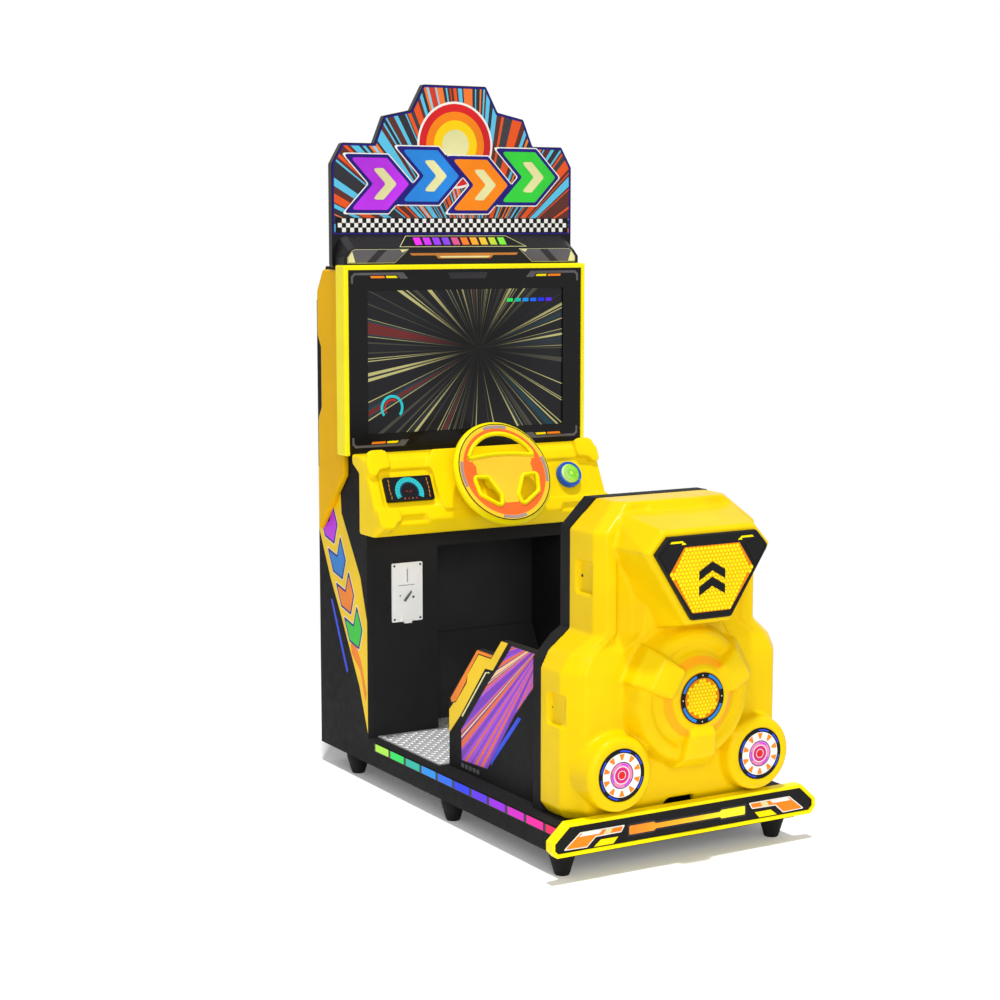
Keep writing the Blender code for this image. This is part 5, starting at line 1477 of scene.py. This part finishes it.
@dataclass
class Header:
    """The printed header board and the valance below it."""

    board_face: float = 0.490
    valance_face: float = 0.4395
    foot_z: float = 1.4095
    half: tuple[Point2, ...] = (
        (0.3555, 1.4095), (0.3555, 1.5862), (0.3262, 1.6382), (0.2350, 1.6382), (0.2060, 1.7084),
        (0.1275, 1.7247), (0.0920, 1.7906),
    )

    def build(self, shop: Workshop) -> None:
        """Builds the two printed faces."""
        self._board(shop)
        self._valance(shop)

    def _board(self, shop: Workshop) -> None:
        """Rays, a low sun, road-sign arrows and a chequered band."""
        face = facing_seat(self.board_face)
        outline = mirrored(list(self.half))
        layers = [Layer((outline, inset(outline, 0.0045)), PRINT_NAVY, 0.0001, 0.0008),
                  flat(inset(outline, 0.0046), HEADER_BURST, 0.0001, 0.0006)]
        rings = ((0.112, PRINT_WHITE), (0.106, PRINT_RED), (0.086, PRINT_ORANGE), (0.064, PRINT_YELLOW),
                 (0.040, PRINT_CREAM))
        for index, (radius, finish) in enumerate(rings):
            base = 0.0010 + 0.0005 * index
            layers.append(flat(circle((0.0, 1.640), radius, 64), finish, base, base + 0.0004))
        for index, finish in enumerate(TILE_INKS):
            place = (-0.222 + 0.148 * index, 1.548 + (0.012 if index % 2 else -0.010))
            layers += stacked(arrow(place, 0.168, 0.132, 0), 0.006, 0.0004, (
                (-0.0115, PRINT_WHITE, 0.0034), (-0.0085, PRINT_NAVY, 0.0039), (0.0, finish, 0.0044),
                (0.026, PRINT_CREAM, 0.0049)))
        layers.append(flat(rectangle((-0.348, 0.348), (1.4140, 1.4520)), PRINT_BLACK, 0.0010, 0.0014))
        shop.prints("header_print", face, layers)
        cell = 0.0116
        spots = [face.spot(-0.342 + cell * (column + 0.5), 1.4156 + cell * (row + 0.5), 0.0015)
                 for row in range(3) for column in range(59) if (row + column) % 2]
        tile = oblong(cell * 0.96, cell * 0.96)
        shop.tiles("header_chequers", tile, 0.0004, spots, PRINT_WHITE)

    def _valance(self, shop: Workshop) -> None:
        """A plate with a row of bars, and below it grey panels edged in cream and a stepped amber bar."""
        slope = Face(Vector((0, self.valance_face, 1.376)), Vector((1, 0, 0)), Vector((0, 0.8433, 0.5375)))
        plate = mirrored([(0.190, 0.003), (0.150, 0.055)])
        rows = [Layer((plate, inset(plate, 0.0016)), PRINT_CREAM, 0.0001, 0.0005),
                flat(inset(plate, 0.0017), PRINT_BLACK, 0.0001, 0.0004)]
        shop.prints("title_plate", slope, rows)
        bars = [slope.spot(-0.126 + 0.028 * i, 0.029, 0.0005, tone=i / 9) for i in range(10)]
        block = [(-0.0135, -0.017), (0.0065, -0.017), (0.0135, 0.017), (-0.0065, 0.017)]
        shop.tiles("title_bars", block, 0.0005, bars, TITLE_BLEND)
        panel = [(0.205, 1.3372), (0.3400, 1.3372), (0.3400, 1.3515), (0.3270, 1.3685), (0.3190, 1.3725),
                 (0.1640, 1.3725)]
        corner = [(0.318, 1.3392), (0.3380, 1.3392), (0.3380, 1.3512), (0.3265, 1.3665)]
        tip = [(0.166, 1.3712), (0.190, 1.3712), (0.184, 1.3640)]
        streak = [(0.262, 1.3390), (0.286, 1.3390), (0.252, 1.3710), (0.228, 1.3710)]
        layers = pair(panel, PRINT_CREAM, 0.0001, 0.0004)
        layers += pair(inset(panel, 0.0009), PRINT_GREY, 0.0005, 0.0008)
        for shape, finish in ((streak, PRINT_DARK), (corner, PRINT_CREAM), (tip, PRINT_CREAM)):
            layers += pair(shape, finish, 0.0009, 0.0012)
        bar = mirrored([(0.078, 1.3478), (0.086, 1.3560), (0.156, 1.3560), (0.162, 1.3620)])
        layers.append(flat(bar, PRINT_BROWN, 0.0001, 0.0006))
        layers.append(flat(mirrored([(0.070, 1.3500), (0.076, 1.3540)]), PRINT_CREAM, 0.0007, 0.0010))
        shop.prints("valance_print", facing_seat(self.valance_face), layers)


@dataclass
class Dashboard:
    """The moulded dashboard with its gauge, start button and steering wheel."""

    gauge_w: float = -0.0692
    gauge_mid: Point2 = (-0.2390, -0.0095)
    gauge_centre_x: float = -0.238
    cap_mid: Point2 = (0.242, 0.0073)
    cap_w: float = -0.0557
    ring_w: float = -0.0617
    face_w: float = 0.010
    ring_top_w: float = 0.012
    rim_line: Point2 = (0.1287, 0.1312)
    pads: Point2 = (0.1188, 0.1264)
    bow_radius: float = 0.107
    bow_chord: float = 0.037
    brow_rise: float = 0.0085
    upper_boss: tuple[Point2, ...] = (
        (-0.3440, 0.0420), (-0.3440, 0.0800), (-0.3300, 0.0950), (-0.3050, 0.0950), (-0.2860, 0.0820),
        (-0.2800, 0.0600), (-0.3120, 0.0520), (-0.3250, 0.0330),
    )
    lower_boss: tuple[Point2, ...] = (
        (-0.3440, -0.0500), (-0.3300, -0.0520), (-0.2790, -0.0570), (-0.2810, -0.0740), (-0.3080, -0.1080),
        (-0.3380, -0.1060), (-0.3440, -0.0900),
    )
    lower: tuple[Point2, ...] = ((0.050, -0.012), (0.094, -0.008), (0.086, -0.058), (0.030, -0.094),
                                 (0.024, -0.062))

    def build(self, shop: Workshop) -> None:
        """Builds every piece of the dashboard."""
        bosses = []
        for shape, top in ((self.upper_boss, -0.0600), (self.lower_boss, -0.0605)):
            bosses += pair(rounded(list(shape), 0.012, 4), YELLOW, -0.112, top)
        extra = applied("dash_bosses", STEERING, bosses)
        shop.moulded("dash_moulding", "dash_shell", 0.0034, 4, YELLOW, extra=extra)
        self._gauge(shop)
        self._button(shop)
        self._wheel(shop)

    def _gauge(self, shop: Workshop) -> None:
        """A lit three-quarter arc with ticks, red marks and two side frames."""
        face = STEERING
        low, high = self.gauge_w + 0.0001, self.gauge_w + 0.0005
        mid = self.gauge_mid
        u, v = mid
        needle = [(u, v - 0.001), (u + 0.0095, v + 0.0055), (u + 0.0005, v + 0.0012)]
        shapes = [(band(mid, 0.0275, 0.0400, -24, 204, 44), GAUGE_CYAN),
                  (band(mid, 0.0246, 0.0252, -30, 210, 40), PRINT_CYAN),
                  (rectangle((u - 0.010, u - 0.004), (v + 0.0020, v + 0.0034)), GAUGE_RED),
                  (needle, GAUGE_RED)]
        for index in range(4):
            dot = circle((u - 0.0165 + 0.011 * index, v - 0.0165), 0.0018, 12)
            shapes.append((dot, GAUGE_RED if index % 2 else PRINT_BROWN))
        layers = [flat(shape, finish, low, high) for shape, finish in shapes]
        outer = rounded(oblong(0.133, 0.063, (self.gauge_centre_x, 0.0)), 0.008, 5)
        layers.append(Layer((outer, inset(outer, 0.0016)), BLACK_PLASTIC, low, high + 0.0010))
        shop.prints("gauge_print", face, layers)
        count = 18
        turns = [-18 + 216 * index / (count - 1) for index in range(count)]
        places = arc(mid, 0.0342, turns[0], turns[-1], count - 1)
        ticks = [face.spot(*place, high + 0.0001, spin=turn) for place, turn in zip(places, turns)]
        shop.tiles("gauge_ticks", oblong(0.0096, 0.0007), 0.0003, ticks, PRINT_BLACK)
        frames = []
        for way in (-1, 1):
            for step in range(-2, 3):
                across = self.gauge_centre_x + way * (0.0560 - 0.0008 * abs(step))
                frames.append(face.spot(across, 0.011 * step, high, spin=way * step * -5))
        mark = rounded(oblong(0.0024, 0.0088), 0.0006, 2)
        shop.tiles("gauge_frames", mark, 0.0004, frames, PRINT_BROWN)

    def _button(self, shop: Workshop) -> None:
        """Ribs and rings on the lens, and a bright bead on its ring."""
        face = STEERING
        ribs = [face.spot(*self.cap_mid, self.cap_w, spin=15 * i) for i in range(24)]
        rib = rectangle((0.0085, 0.0195), (-0.00045, 0.00045))
        shop.tiles("start_lens_ribs", rib, 0.0005, ribs, PRINT_GREEN, Body.START)
        rings = [hoop(self.cap_mid, radii, PRINT_GREEN, self.cap_w, self.cap_w + 0.0006, count)
                 for radii, count in (((0.0060, 0.0075), 40), ((0.0210, 0.0222), 48))]
        shop.prints("start_lens_rings", face, rings, body=Body.START)
        bead = [face.matrix() @ Vector((u, v, self.ring_w)) for u, v in circle(self.cap_mid, 0.0318, 48)]
        shop.settle(shop.piping.build("start_ring_bead", [bead], 0.0016, BLUE))

    def _openings(self) -> list[Outline]:
        """The three openings of the wheel."""
        start = math.degrees(math.asin(self.bow_chord / self.bow_radius))
        bow = rounded(arc((0, 0), self.bow_radius, start, 180 - start, 16), 0.008, 3)
        right = rounded(list(self.lower), 0.012, 5)
        return [bow, right, list(reversed(flipped(right)))]

    def _brow(self) -> Outline:
        """The arched lower edge of the upper opening, from right to left."""
        return [(0.0960 - 0.0120 * i, self.bow_chord + self.brow_rise * (1 - ((i - 8) / 8) ** 2))
                for i in range(17)]

    def _wheel(self, shop: Workshop) -> None:
        """Soft rim, orange sheet, golden middle, lips, pads and the thin dark line."""
        wheel = Body.WHEEL
        shop.moulded("wheel_moulding", "steering_wheel", 0.0022, 4, BRIGHT_YELLOW, wheel)
        hub = (0.0, 0.0)
        top = self.ring_top_w
        openings = self._openings()
        sheet = [circle(hub, 0.1088, 72)] + [inset(loop, -0.0028) for loop in openings]
        middle = mirrored([(0.0215, -0.0840), (0.0195, -0.0620), (0.0470, -0.0085), (0.0640, -0.0045),
                           (0.0830, -0.0030), (0.0800, 0.0170), (0.0900, 0.0330)])
        brow = self._brow()
        web = [(-0.0960, self.bow_chord - 0.0055), (0.0960, self.bow_chord - 0.0055)] + brow
        layers = [
            Layer(tuple(sheet), ORANGE, self.face_w + 0.0002, top - 0.0002),
            flat(rounded(middle, 0.005, 3), GOLD, top, top + 0.0010),
            flat(web, GOLD, -0.0040, top + 0.0009),
            hoop(hub, (0.1180, 0.1275), GOLD, top - 0.0001, top + 0.0002),
            hoop(hub, self.rim_line, PRINT_BLACK, top + 0.0001, top + 0.0006),
            hoop(hub, (0.1274, 0.1288), BRIGHT_YELLOW, top + 0.0001, top + 0.0005),
        ]
        for turn in (0, 90, 180, 270):
            pad = band(hub, *self.pads, turn - 16, turn + 16, 14)
            layers.append(flat(pad, MAUVE, top + 0.0001, top + 0.0009))
        shop.prints("wheel_dressing", STEERING, layers, wheel)
        matrix = STEERING.matrix()
        start = math.degrees(math.asin(self.bow_chord / self.bow_radius)) + 1.5
        bow = arc(hub, self.bow_radius, start, 180 - start, 20) + list(reversed(brow))[1:-1]
        loops = [rounded(bow, 0.009, 4)] + openings[1:]
        lips = [[matrix @ Vector((u, v, self.face_w + 0.0018)) for u, v in inset(loop, depth)]
                for loop, depth in zip(loops, (0.0030, 0.0002, 0.0002))]
        shop.settle(shop.piping.build("wheel_lips", lips, 0.0058, BRIGHT_YELLOW), wheel)


@dataclass
class Pad:
    """A stuffed seat pad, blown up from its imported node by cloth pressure.

    Attributes:
        name: Name of the piece.
        node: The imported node.
        rest: Index of the axis across which it rests.
        rest_low: Whether it rests on its lower face.
        seam: Where the piping runs, as a share of the thickness from the resting face.
        margin: How much smaller the blown shape starts on every side.
        voxel: Size of the skin's faces.
        swell: The most that a point may move.
        pressure: Force of the cloth's pressure.
        frames: How many frames the cloth runs.
        room: Gap to the neighbours.
        bead: Radius of the piping.
        corner: Radius of the seams' corners.
        seam_step: Distance between the points of a seam.
        seam_back: How far the piping is set in.
        stitch_back: How far the stitches are set in.
        stitch: Scale of a stitch along, across and up.
    """

    name: str
    node: str
    rest: int
    rest_low: bool
    seam: float
    margin: float = 0.004
    voxel: float = 0.006
    swell: float = 0.011
    pressure: float = 4.0
    frames: int = 20
    room: float = 0.0004
    bead: float = 0.0032
    corner: float = 0.035
    seam_step: float = 0.012
    seam_back: float = 0.003
    stitch_back: float = 0.022
    stitch: Point3 = (0.0034, 0.0008, 0.0012)

    def build(self, shop: Workshop) -> None:
        """Builds the pad with its piping and stitches."""
        pad = shop.copy_of(self.name, self.node)
        low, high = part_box(self.node)
        self._shrink(pad, low, high)
        reskin(pad, self.voxel)
        bake(pad)
        self._blow_up(pad, low, high)
        finer = pad.modifiers.new("finer", "SUBSURF")
        finer.levels = finer.render_levels = 1
        bake(pad)
        smooth(pad, LEATHER)
        line = self._seam(pad, low, high)
        shop.settle(pad, stands_for=[self.node])
        bead = shop.piping.build(self.name + "_piping", [line], self.bead, LEATHER)
        shop.settle(bead)
        self._stitches(shop, pad, low, high)

    def _shrink(self, pad: bpy.types.Object, low: Vector, high: Vector) -> None:
        """Starts from a slightly smaller shape, because the pad swells."""
        middle = (low + high) / 2
        size = high - low
        factor = Vector([(s - 2 * self.margin) / s for s in size])
        for vert in pad.data.vertices:
            offset = vert.co - middle
            vert.co = middle + Vector([o * f for o, f in zip(offset, factor)])

    def _blow_up(self, pad: bpy.types.Object, low: Vector, high: Vector) -> None:
        """Runs the cloth, caps each point's way and keeps the pad between its neighbours."""
        scene = bpy.context.scene
        held = pad.vertex_groups.new(name="held")
        floor = low[self.rest] if self.rest_low else high[self.rest]
        for vert in pad.data.vertices:
            if abs(vert.co[self.rest] - floor) < self.margin + self.voxel * 0.8:
                held.add([vert.index], 1.0, "REPLACE")
        start = [vert.co.copy() for vert in pad.data.vertices]
        cloth = pad.modifiers.new("pressure", "CLOTH")
        cloth.settings.vertex_group_mass = "held"
        cloth.settings.use_pressure = True
        cloth.settings.uniform_pressure_force = self.pressure
        cloth.settings.effector_weights.gravity = 0
        cloth.settings.quality = 5
        cloth.point_cache.frame_start = 1
        cloth.point_cache.frame_end = self.frames
        for number in range(1, self.frames + 1):
            scene.frame_set(number)
        bake(pad)
        pad.vertex_groups.clear()
        scene.frame_set(1)
        for vert, before in zip(pad.data.vertices, start):
            way = vert.co - before
            if way.length > self.swell:
                vert.co = before + way * (self.swell / way.length)
            for axis in range(3):
                free = axis == self.rest
                least = low[axis] - (self.swell if free and not self.rest_low else -self.room)
                most = high[axis] + (self.swell if free and self.rest_low else -self.room)
                vert.co[axis] = min(max(vert.co[axis], least), most)

    def _outline(self, low: Vector, high: Vector, back: float) -> list[Vector]:
        """A line round the pad, set in from its box and placed at the seam."""
        first, second = [axis for axis in range(3) if axis != self.rest]
        shape = rectangle((low[first] + back, high[first] - back), (low[second] + back, high[second] - back))
        share = self.seam if self.rest_low else 1 - self.seam
        depth = low[self.rest] + (high[self.rest] - low[self.rest]) * share
        line = []
        corners = rounded(shape, self.corner, 8)
        for index, here in enumerate(corners):
            there = corners[(index + 1) % len(corners)]
            steps = max(1, round((Vector(there) - Vector(here)).length / self.seam_step))
            for step in range(steps):
                point = Vector((0, 0, 0))
                point[first] = here[0] + (there[0] - here[0]) * step / steps
                point[second] = here[1] + (there[1] - here[1]) * step / steps
                point[self.rest] = depth
                line.append(point)
        return line

    def _seam(self, pad: bpy.types.Object, low: Vector, high: Vector) -> list[Vector]:
        """The piping's line on the pad's skin."""
        line = self._outline(low, high, self.seam_back)
        return [pad.closest_point_on_mesh(point)[1] for point in line]

    def _stitches(self, shop: Workshop, pad: bpy.types.Object, low: Vector, high: Vector) -> None:
        """A row of stitches inside the piping."""
        free = Vector((0, 0, 0))
        free[self.rest] = 1.0 if self.rest_low else -1.0
        spots = []
        line = self._outline(low, high, self.stitch_back)
        for here, there in zip(line, line[1:] + line[:1]):
            start = Vector(here)
            start[self.rest] = (high if self.rest_low else low)[self.rest] + free[self.rest] * 0.05
            hit, place, normal, _ = pad.ray_cast(start, -free)
            if not hit:
                continue
            along = (there - here).normalized()
            across = normal.cross(along).normalized()
            turn = Matrix((normal.cross(across), across, normal)).transposed().to_euler()
            spots.append(Spot(place, turn))
        stitch = lathe("stitch_shape", [(1.0, 0.0), (0.9, 0.35), (0.4, 0.6)], 8)
        for vert in stitch.data.vertices:
            vert.co = vert.co * Vector(self.stitch)
        shop.repeats(self.name + "_stitches", stitch, spots, THREAD)


@dataclass
class Seat:
    """The seat's printed sides and its pads."""

    side_face: float = 0.270
    orange: tuple[Point2, ...] = (
        (0.0353, 0.2890), (-0.0958, 0.4318), (-0.1680, 0.4318), (-0.1622, 0.4241), (-0.1007, 0.4241),
        (-0.0509, 0.3668), (-0.0402, 0.3436), (0.0082, 0.2873), (0.0299, 0.2802),
    )
    yellow: tuple[Point2, ...] = (
        (0.0415, 0.2022), (0.0415, 0.2600), (0.0190, 0.2811), (0.0082, 0.2846), (-0.0455, 0.3419),
        (-0.0508, 0.3642), (-0.1033, 0.4215), (-0.1621, 0.4215), (-0.2099, 0.4728), (-0.2396, 0.4728),
        (-0.1697, 0.3956), (-0.1341, 0.3942), (-0.0131, 0.2553),
    )
    thread: tuple[Point2, ...] = (
        (-0.0185, 0.2560), (-0.1341, 0.3851), (-0.1520, 0.3890), (-0.1545, 0.3863), (-0.1382, 0.3832),
        (-0.0238, 0.2545),
    )
    picture: tuple[Point2, ...] = (
        (-0.2567, 0.4690), (-0.3740, 0.4690), (-0.3740, 0.4117), (-0.2692, 0.3100), (-0.1439, 0.1533),
        (-0.0206, 0.1470), (-0.0183, 0.2215), (-0.1545, 0.3680), (-0.2297, 0.4389),
    )
    line: tuple[Point2, ...] = ((-0.2839, 0.3073), (-0.2990, 0.3062), (-0.1695, 0.1749), (-0.1619, 0.1640),
                                (-0.1568, 0.1773))

    def build(self, shop: Workshop) -> None:
        """Builds the printed sides and both pads."""
        for side in Side:
            self._print(shop, side)
        Pad("seat_pad", "seat_cushion", 2, True, 0.80).build(shop)
        Pad("back_pad", "back_cushion", 1, True, 0.72, swell=0.009).build(shop)

    def _print(self, shop: Workshop, side: Side) -> None:
        """Bands along the arm, a panel of rays and a blue line."""
        face = facing_out(side, self.side_face)
        frame = inset(list(self.picture), -0.0035)
        layers = [flat(on_side(side, list(outline)), finish, low, high) for outline, finish, low, high in (
            (self.orange, PRINT_ORANGE, PRINT_LOW, PRINT_HIGH), (self.yellow, PRINT_YELLOW, 0.0006, 0.0010),
            (self.thread, PRINT_CREAM, PRINT_LOW, PRINT_HIGH), (frame, PRINT_BLACK, 0.0001, 0.0003),
            (self.picture, FLANK_BURST, 0.0004, 0.0008), (self.line, PRINT_BLUE, PRINT_LOW, PRINT_HIGH),
        )]
        shop.prints(f"seat_side_print_{side.label}", face, layers)
        bars = [face.spot(side.value * (-0.024 - 0.0185 * i), 0.1345, 0.0001) for i in range(5)]
        bar = oblong(0.013, 0.0104)
        shop.tiles(f"seat_side_bars_{side.label}", bar, 0.0005, bars, PRINT_GREY)


@dataclass
class Pod:
    """The moulded pod behind the seat with its badge, hub emblem and printed discs."""

    badge_face: float = -0.660
    badge_half: tuple[Point2, ...] = ((0.0532, 0.575), (0.1525, 0.727), (0.1187, 0.764))
    emblem_face: float = -0.6305
    emblem_z: float = 0.389
    disc_x: float = 0.190
    disc_z: float = 0.231
    flank_back: float = -0.480
    sections: tuple[tuple[float, ...], ...] = (
        (0.1206, 0.275, -0.495, 0.225, -0.5385, 0.0, 0.0), (0.1466, 0.295, -0.505, 0.245, -0.5525, 0.0, 0.0),
        (0.455, 0.295, -0.505, 0.245, -0.5525, 0.0, 0.0), (0.492, 0.275, -0.509, 0.225, -0.5485, 0.0, 0.0),
        (0.535, 0.2205, -0.521, 0.165, -0.535, 0.012, 0.024),
        (0.762, 0.2205, -0.521, 0.165, -0.535, 0.012, 0.024),
        (0.8255, 0.150, -0.493, 0.105, -0.521, 0.0, 0.0),
    )
    pockets: tuple[Point3, ...] = ((0.2205, 0.622, 0.696), (0.295, 0.332, 0.404))

    def build(self, shop: Workshop) -> None:
        """Builds every piece of the pod."""
        shop.moulded("pod_moulding", "seat_pod", 0.0042, 3, POD_YELLOW, extra=self._flanks())
        self._badge(shop)
        self._emblem(shop)
        for side in Side:
            self._disc(shop, side)
        self._pocket_screws(shop)

    def _flanks(self) -> bpy.types.Object:
        """The fuller flanks, ridges and stem that grow into the moulding, with open pockets and notch."""
        build = bmesh.new()
        rings = []
        for z, half, corner, front_half, front, ridge, stem in self.sections:
            shape = mirrored([
                (front_half * 0.64, front - stem), (front_half * 0.74, front), (front_half, front),
                (front_half + 0.011, front - ridge), (half - 0.020, corner - 0.026), (half, corner),
                (half, self.flank_back),
            ])
            rings.append([build.verts.new((x, y, z)) for x, y in shape])
        for lower, upper in zip(rings, rings[1:]):
            count = len(lower)
            for i in range(count):
                build.faces.new((lower[i], lower[(i + 1) % count], upper[(i + 1) % count], upper[i]))
        build.faces.new(rings[0])
        build.faces.new(rings[-1])
        bmesh.ops.recalc_face_normals(build, faces=build.faces)
        grown = from_build("pod_flanks", build)
        cuts = [flat(mirrored([(0.050, 0.110), (0.036, 0.1466)]), POD_YELLOW, 0.5125, 0.62)]
        for half, low, high in self.pockets:
            cuts += pair(rectangle((half - 0.012, half + 0.05), (low, high)), POD_YELLOW, 0.451, 0.515)
        cutters = [applied("flank_cutter", facing_seat(0.0), [layer]) for layer in cuts]
        for cutter in cutters:
            cut = grown.modifiers.new("cut", "BOOLEAN")
            cut.object = cutter
            cut.solver = "EXACT"
        bake(grown)
        for cutter in cutters:
            bpy.data.objects.remove(cutter)
        return grown

    def _honeycomb(self, shop: Workshop, name: str, inside: Outline, pitch: float, face: Face,
                   start: Point3) -> None:
        """Six-sided cells whose middles lie inside an outline.

        Args:
            shop: The workshop.
            name: Name of the piece.
            inside: The outline.
            pitch: Distance between the cells.
            face: The face that they lie on.
            start: Across, up and off the face, to the cell that the rows are counted from.
        """
        spots = []
        rise = pitch * math.sqrt(3) / 2
        for row in range(-24, 25):
            for column in range(-24, 25):
                u = start[0] + pitch * (column + (0.5 if row % 2 else 0.0))
                v = start[1] + rise * row
                if self._holds(inside, (u, v)):
                    spots.append(face.spot(u, v, start[2], spin=30, grow=(1.0, 1.0, 0.2)))
        shop.repeats(name, six_sided_tile(), spots, HONEY, size=pitch * 0.49)

    @staticmethod
    def _holds(outline: Outline, point: Point2) -> bool:
        """Whether an outline holds a point."""
        inside = False
        u, v = point
        for (u0, v0), (u1, v1) in zip(outline, outline[1:] + outline[:1]):
            if (v0 > v) != (v1 > v) and u < (u1 - u0) * (v - v0) / (v1 - v0) + u0:
                inside = not inside
        return inside

    def _badge(self, shop: Workshop) -> None:
        """A dark frame round a field of honeycomb with a double arrow."""
        face = facing_seat(self.badge_face)
        outline = rounded(mirrored(list(self.badge_half)), 0.012, 4)
        window = rounded(mirrored([(0.0510, 0.5905), (0.1135, 0.6800), (0.0740, 0.7385)]), 0.005, 3)
        tab = [(0.075, 0.7480), (0.113, 0.7480), (0.109, 0.7525), (0.080, 0.7525)]
        notch = [(0.070, 0.7440), (0.082, 0.7440), (0.080, 0.7480), (0.073, 0.7480)]
        shade = [(0.1175, 0.6860), (0.1420, 0.7240), (0.1150, 0.7435), (0.0880, 0.7330)]
        layers = [Layer((outline, inset(outline, 0.0040)), BLACK_PLASTIC, -0.0006, 0.0012),
                  flat(window, AMBER, 0.0001, 0.0006)]
        layers += pair(tab, BRIGHT_YELLOW, 0.0001, 0.0008) + pair(notch, BRIGHT_YELLOW, 0.0001, 0.0008)
        layers += pair(rounded(shade, 0.004, 3), BLACK_GLOSS, 0.0001, 0.0010)
        for z in (0.648, 0.682):
            layers.append(flat(arrow((0.0, z), 0.040, 0.070, 90, 0.5), PRINT_BLACK, 0.0016, 0.0022))
        shop.prints("badge_dressing", face, layers)
        pitch = 0.0098
        self._honeycomb(shop, "badge_cells", inset(window, pitch * 0.42), pitch, face, (0.0, 0.664, 0.0006))

    def _emblem(self, shop: Workshop) -> None:
        """A dark ring with four blue arcs round a field of honeycomb."""
        face = facing_seat(self.emblem_face)
        mid = (0.0, self.emblem_z)
        layers = [hoop(mid, (0.0465, 0.0585), PRINT_BLACK, 0.0001, 0.0010, 72)]
        for turn in (45, 135, 225, 315):
            mark = band(mid, 0.0492, 0.0560, turn - 27, turn + 27, 18)
            layers.append(flat(mark, PRINT_CYAN, 0.0011, 0.0015))
        for place in circle(mid, 0.0526, 4):
            layers.append(flat(circle(place, 0.0016, 12), PRINT_CREAM, 0.0011, 0.0015))
        shop.prints("emblem_ring", face, layers)
        pitch = 0.0092
        field_edge = circle(mid, 0.0465 - pitch * 0.48, 48)
        self._honeycomb(shop, "emblem_cells", field_edge, pitch, face, (*mid, 0.0001))

    def _disc(self, shop: Workshop, side: Side) -> None:
        """Rings of black, white and magenta with blue marks and orange wedges."""
        face = facing_seat(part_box(f"disc_{side.label}")[0].y)
        mid = (side.value * self.disc_x, self.disc_z)
        rings = (((0.0505, 0.0585), PRINT_BLACK), ((0.0305, 0.0500), PRINT_WHITE),
                 ((0.0285, 0.0303), PRINT_NAVY), ((0.0205, 0.0283), PRINT_ROSE),
                 ((0.0185, 0.0203), PRINT_WHITE), ((0.0105, 0.0183), PRINT_MAGENTA),
                 ((0.0090, 0.0103), PRINT_WHITE))
        layers = [hoop(mid, radii, finish, PRINT_LOW, PRINT_HIGH, 64) for radii, finish in rings]
        layers.append(flat(circle(mid, 0.0088, 32), PRINT_RED))
        for turn in (20, 65, 140, 185, 230, 320):
            layers.append(flat(band(mid, 0.0530, 0.0562, turn, turn + 30, 10), PRINT_BLUE, 0.0006, 0.0009))
        for turn in (45, 165, 285):
            layers.append(flat(band(mid, 0.0232, 0.0262, turn, turn + 50, 12), PRINT_PURPLE, 0.0006, 0.0009))
        shop.prints(f"disc_print_{side.label}", face, layers)
        wedges = [face.spot(*mid, 0.0006, spin=36 * i + 18) for i in range(10)]
        wedge = [(0.0345, -0.0022), (0.0480, -0.0068), (0.0480, 0.0068), (0.0345, 0.0022)]
        shop.tiles(f"disc_wedges_{side.label}", wedge, 0.0004, wedges, PRINT_ORANGE)

    def _pocket_screws(self, shop: Workshop) -> None:
        """A dark screw in each of the four side pockets."""
        spots = []
        for side in Side:
            for half, y, z in ((0.2205, -0.460, 0.659), (0.295, -0.456, 0.368)):
                face = facing_out(side, half - 0.0122)
                spots.append(face.spot(side.value * y, z))
        shop.repeats("pod_screws", screw_head(), spots, DARK_STEEL, size=0.0036)


def dress_nodes(shop: Workshop, record: dict) -> None:
    """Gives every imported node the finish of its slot.

    Args:
        shop: The workshop with the nodes.
        record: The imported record.
    """
    for part in record["subparts"]:
        shop.dress(SLOT_FINISH[Slot(part["material_slot"])], part["node"])
    shop.dress(DARK_STEEL, "bearing_housing", "marquee_bracket")
    shop.dress(BRIGHT_YELLOW, "front_bumper")
    # Painted light: the footwell pieces get the lightened copy of the black laminate.
    shop.dress(LINER_BOARD_PAINTED_LIGHT, "toe_board", "footwell_liner")
    shop.dress(BLACK_PLASTIC, "marquee_valance")


def main() -> None:
    """Builds the setting and every sub-assembly."""
    logging.basicConfig(level=logging.INFO, format="%(name)s: %(message)s")
    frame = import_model()
    Studio().build()
    shop = Workshop(frame["nodes"])
    dress_nodes(shop, frame["record"])
    for assembly in (Platform(), Tower(), ScreenFront(), Header(), Dashboard(), Seat(), Pod()):
        assembly.build(shop)
        LOG.info("%s done", type(assembly).__name__)


if __name__ == "__main__":
    main()
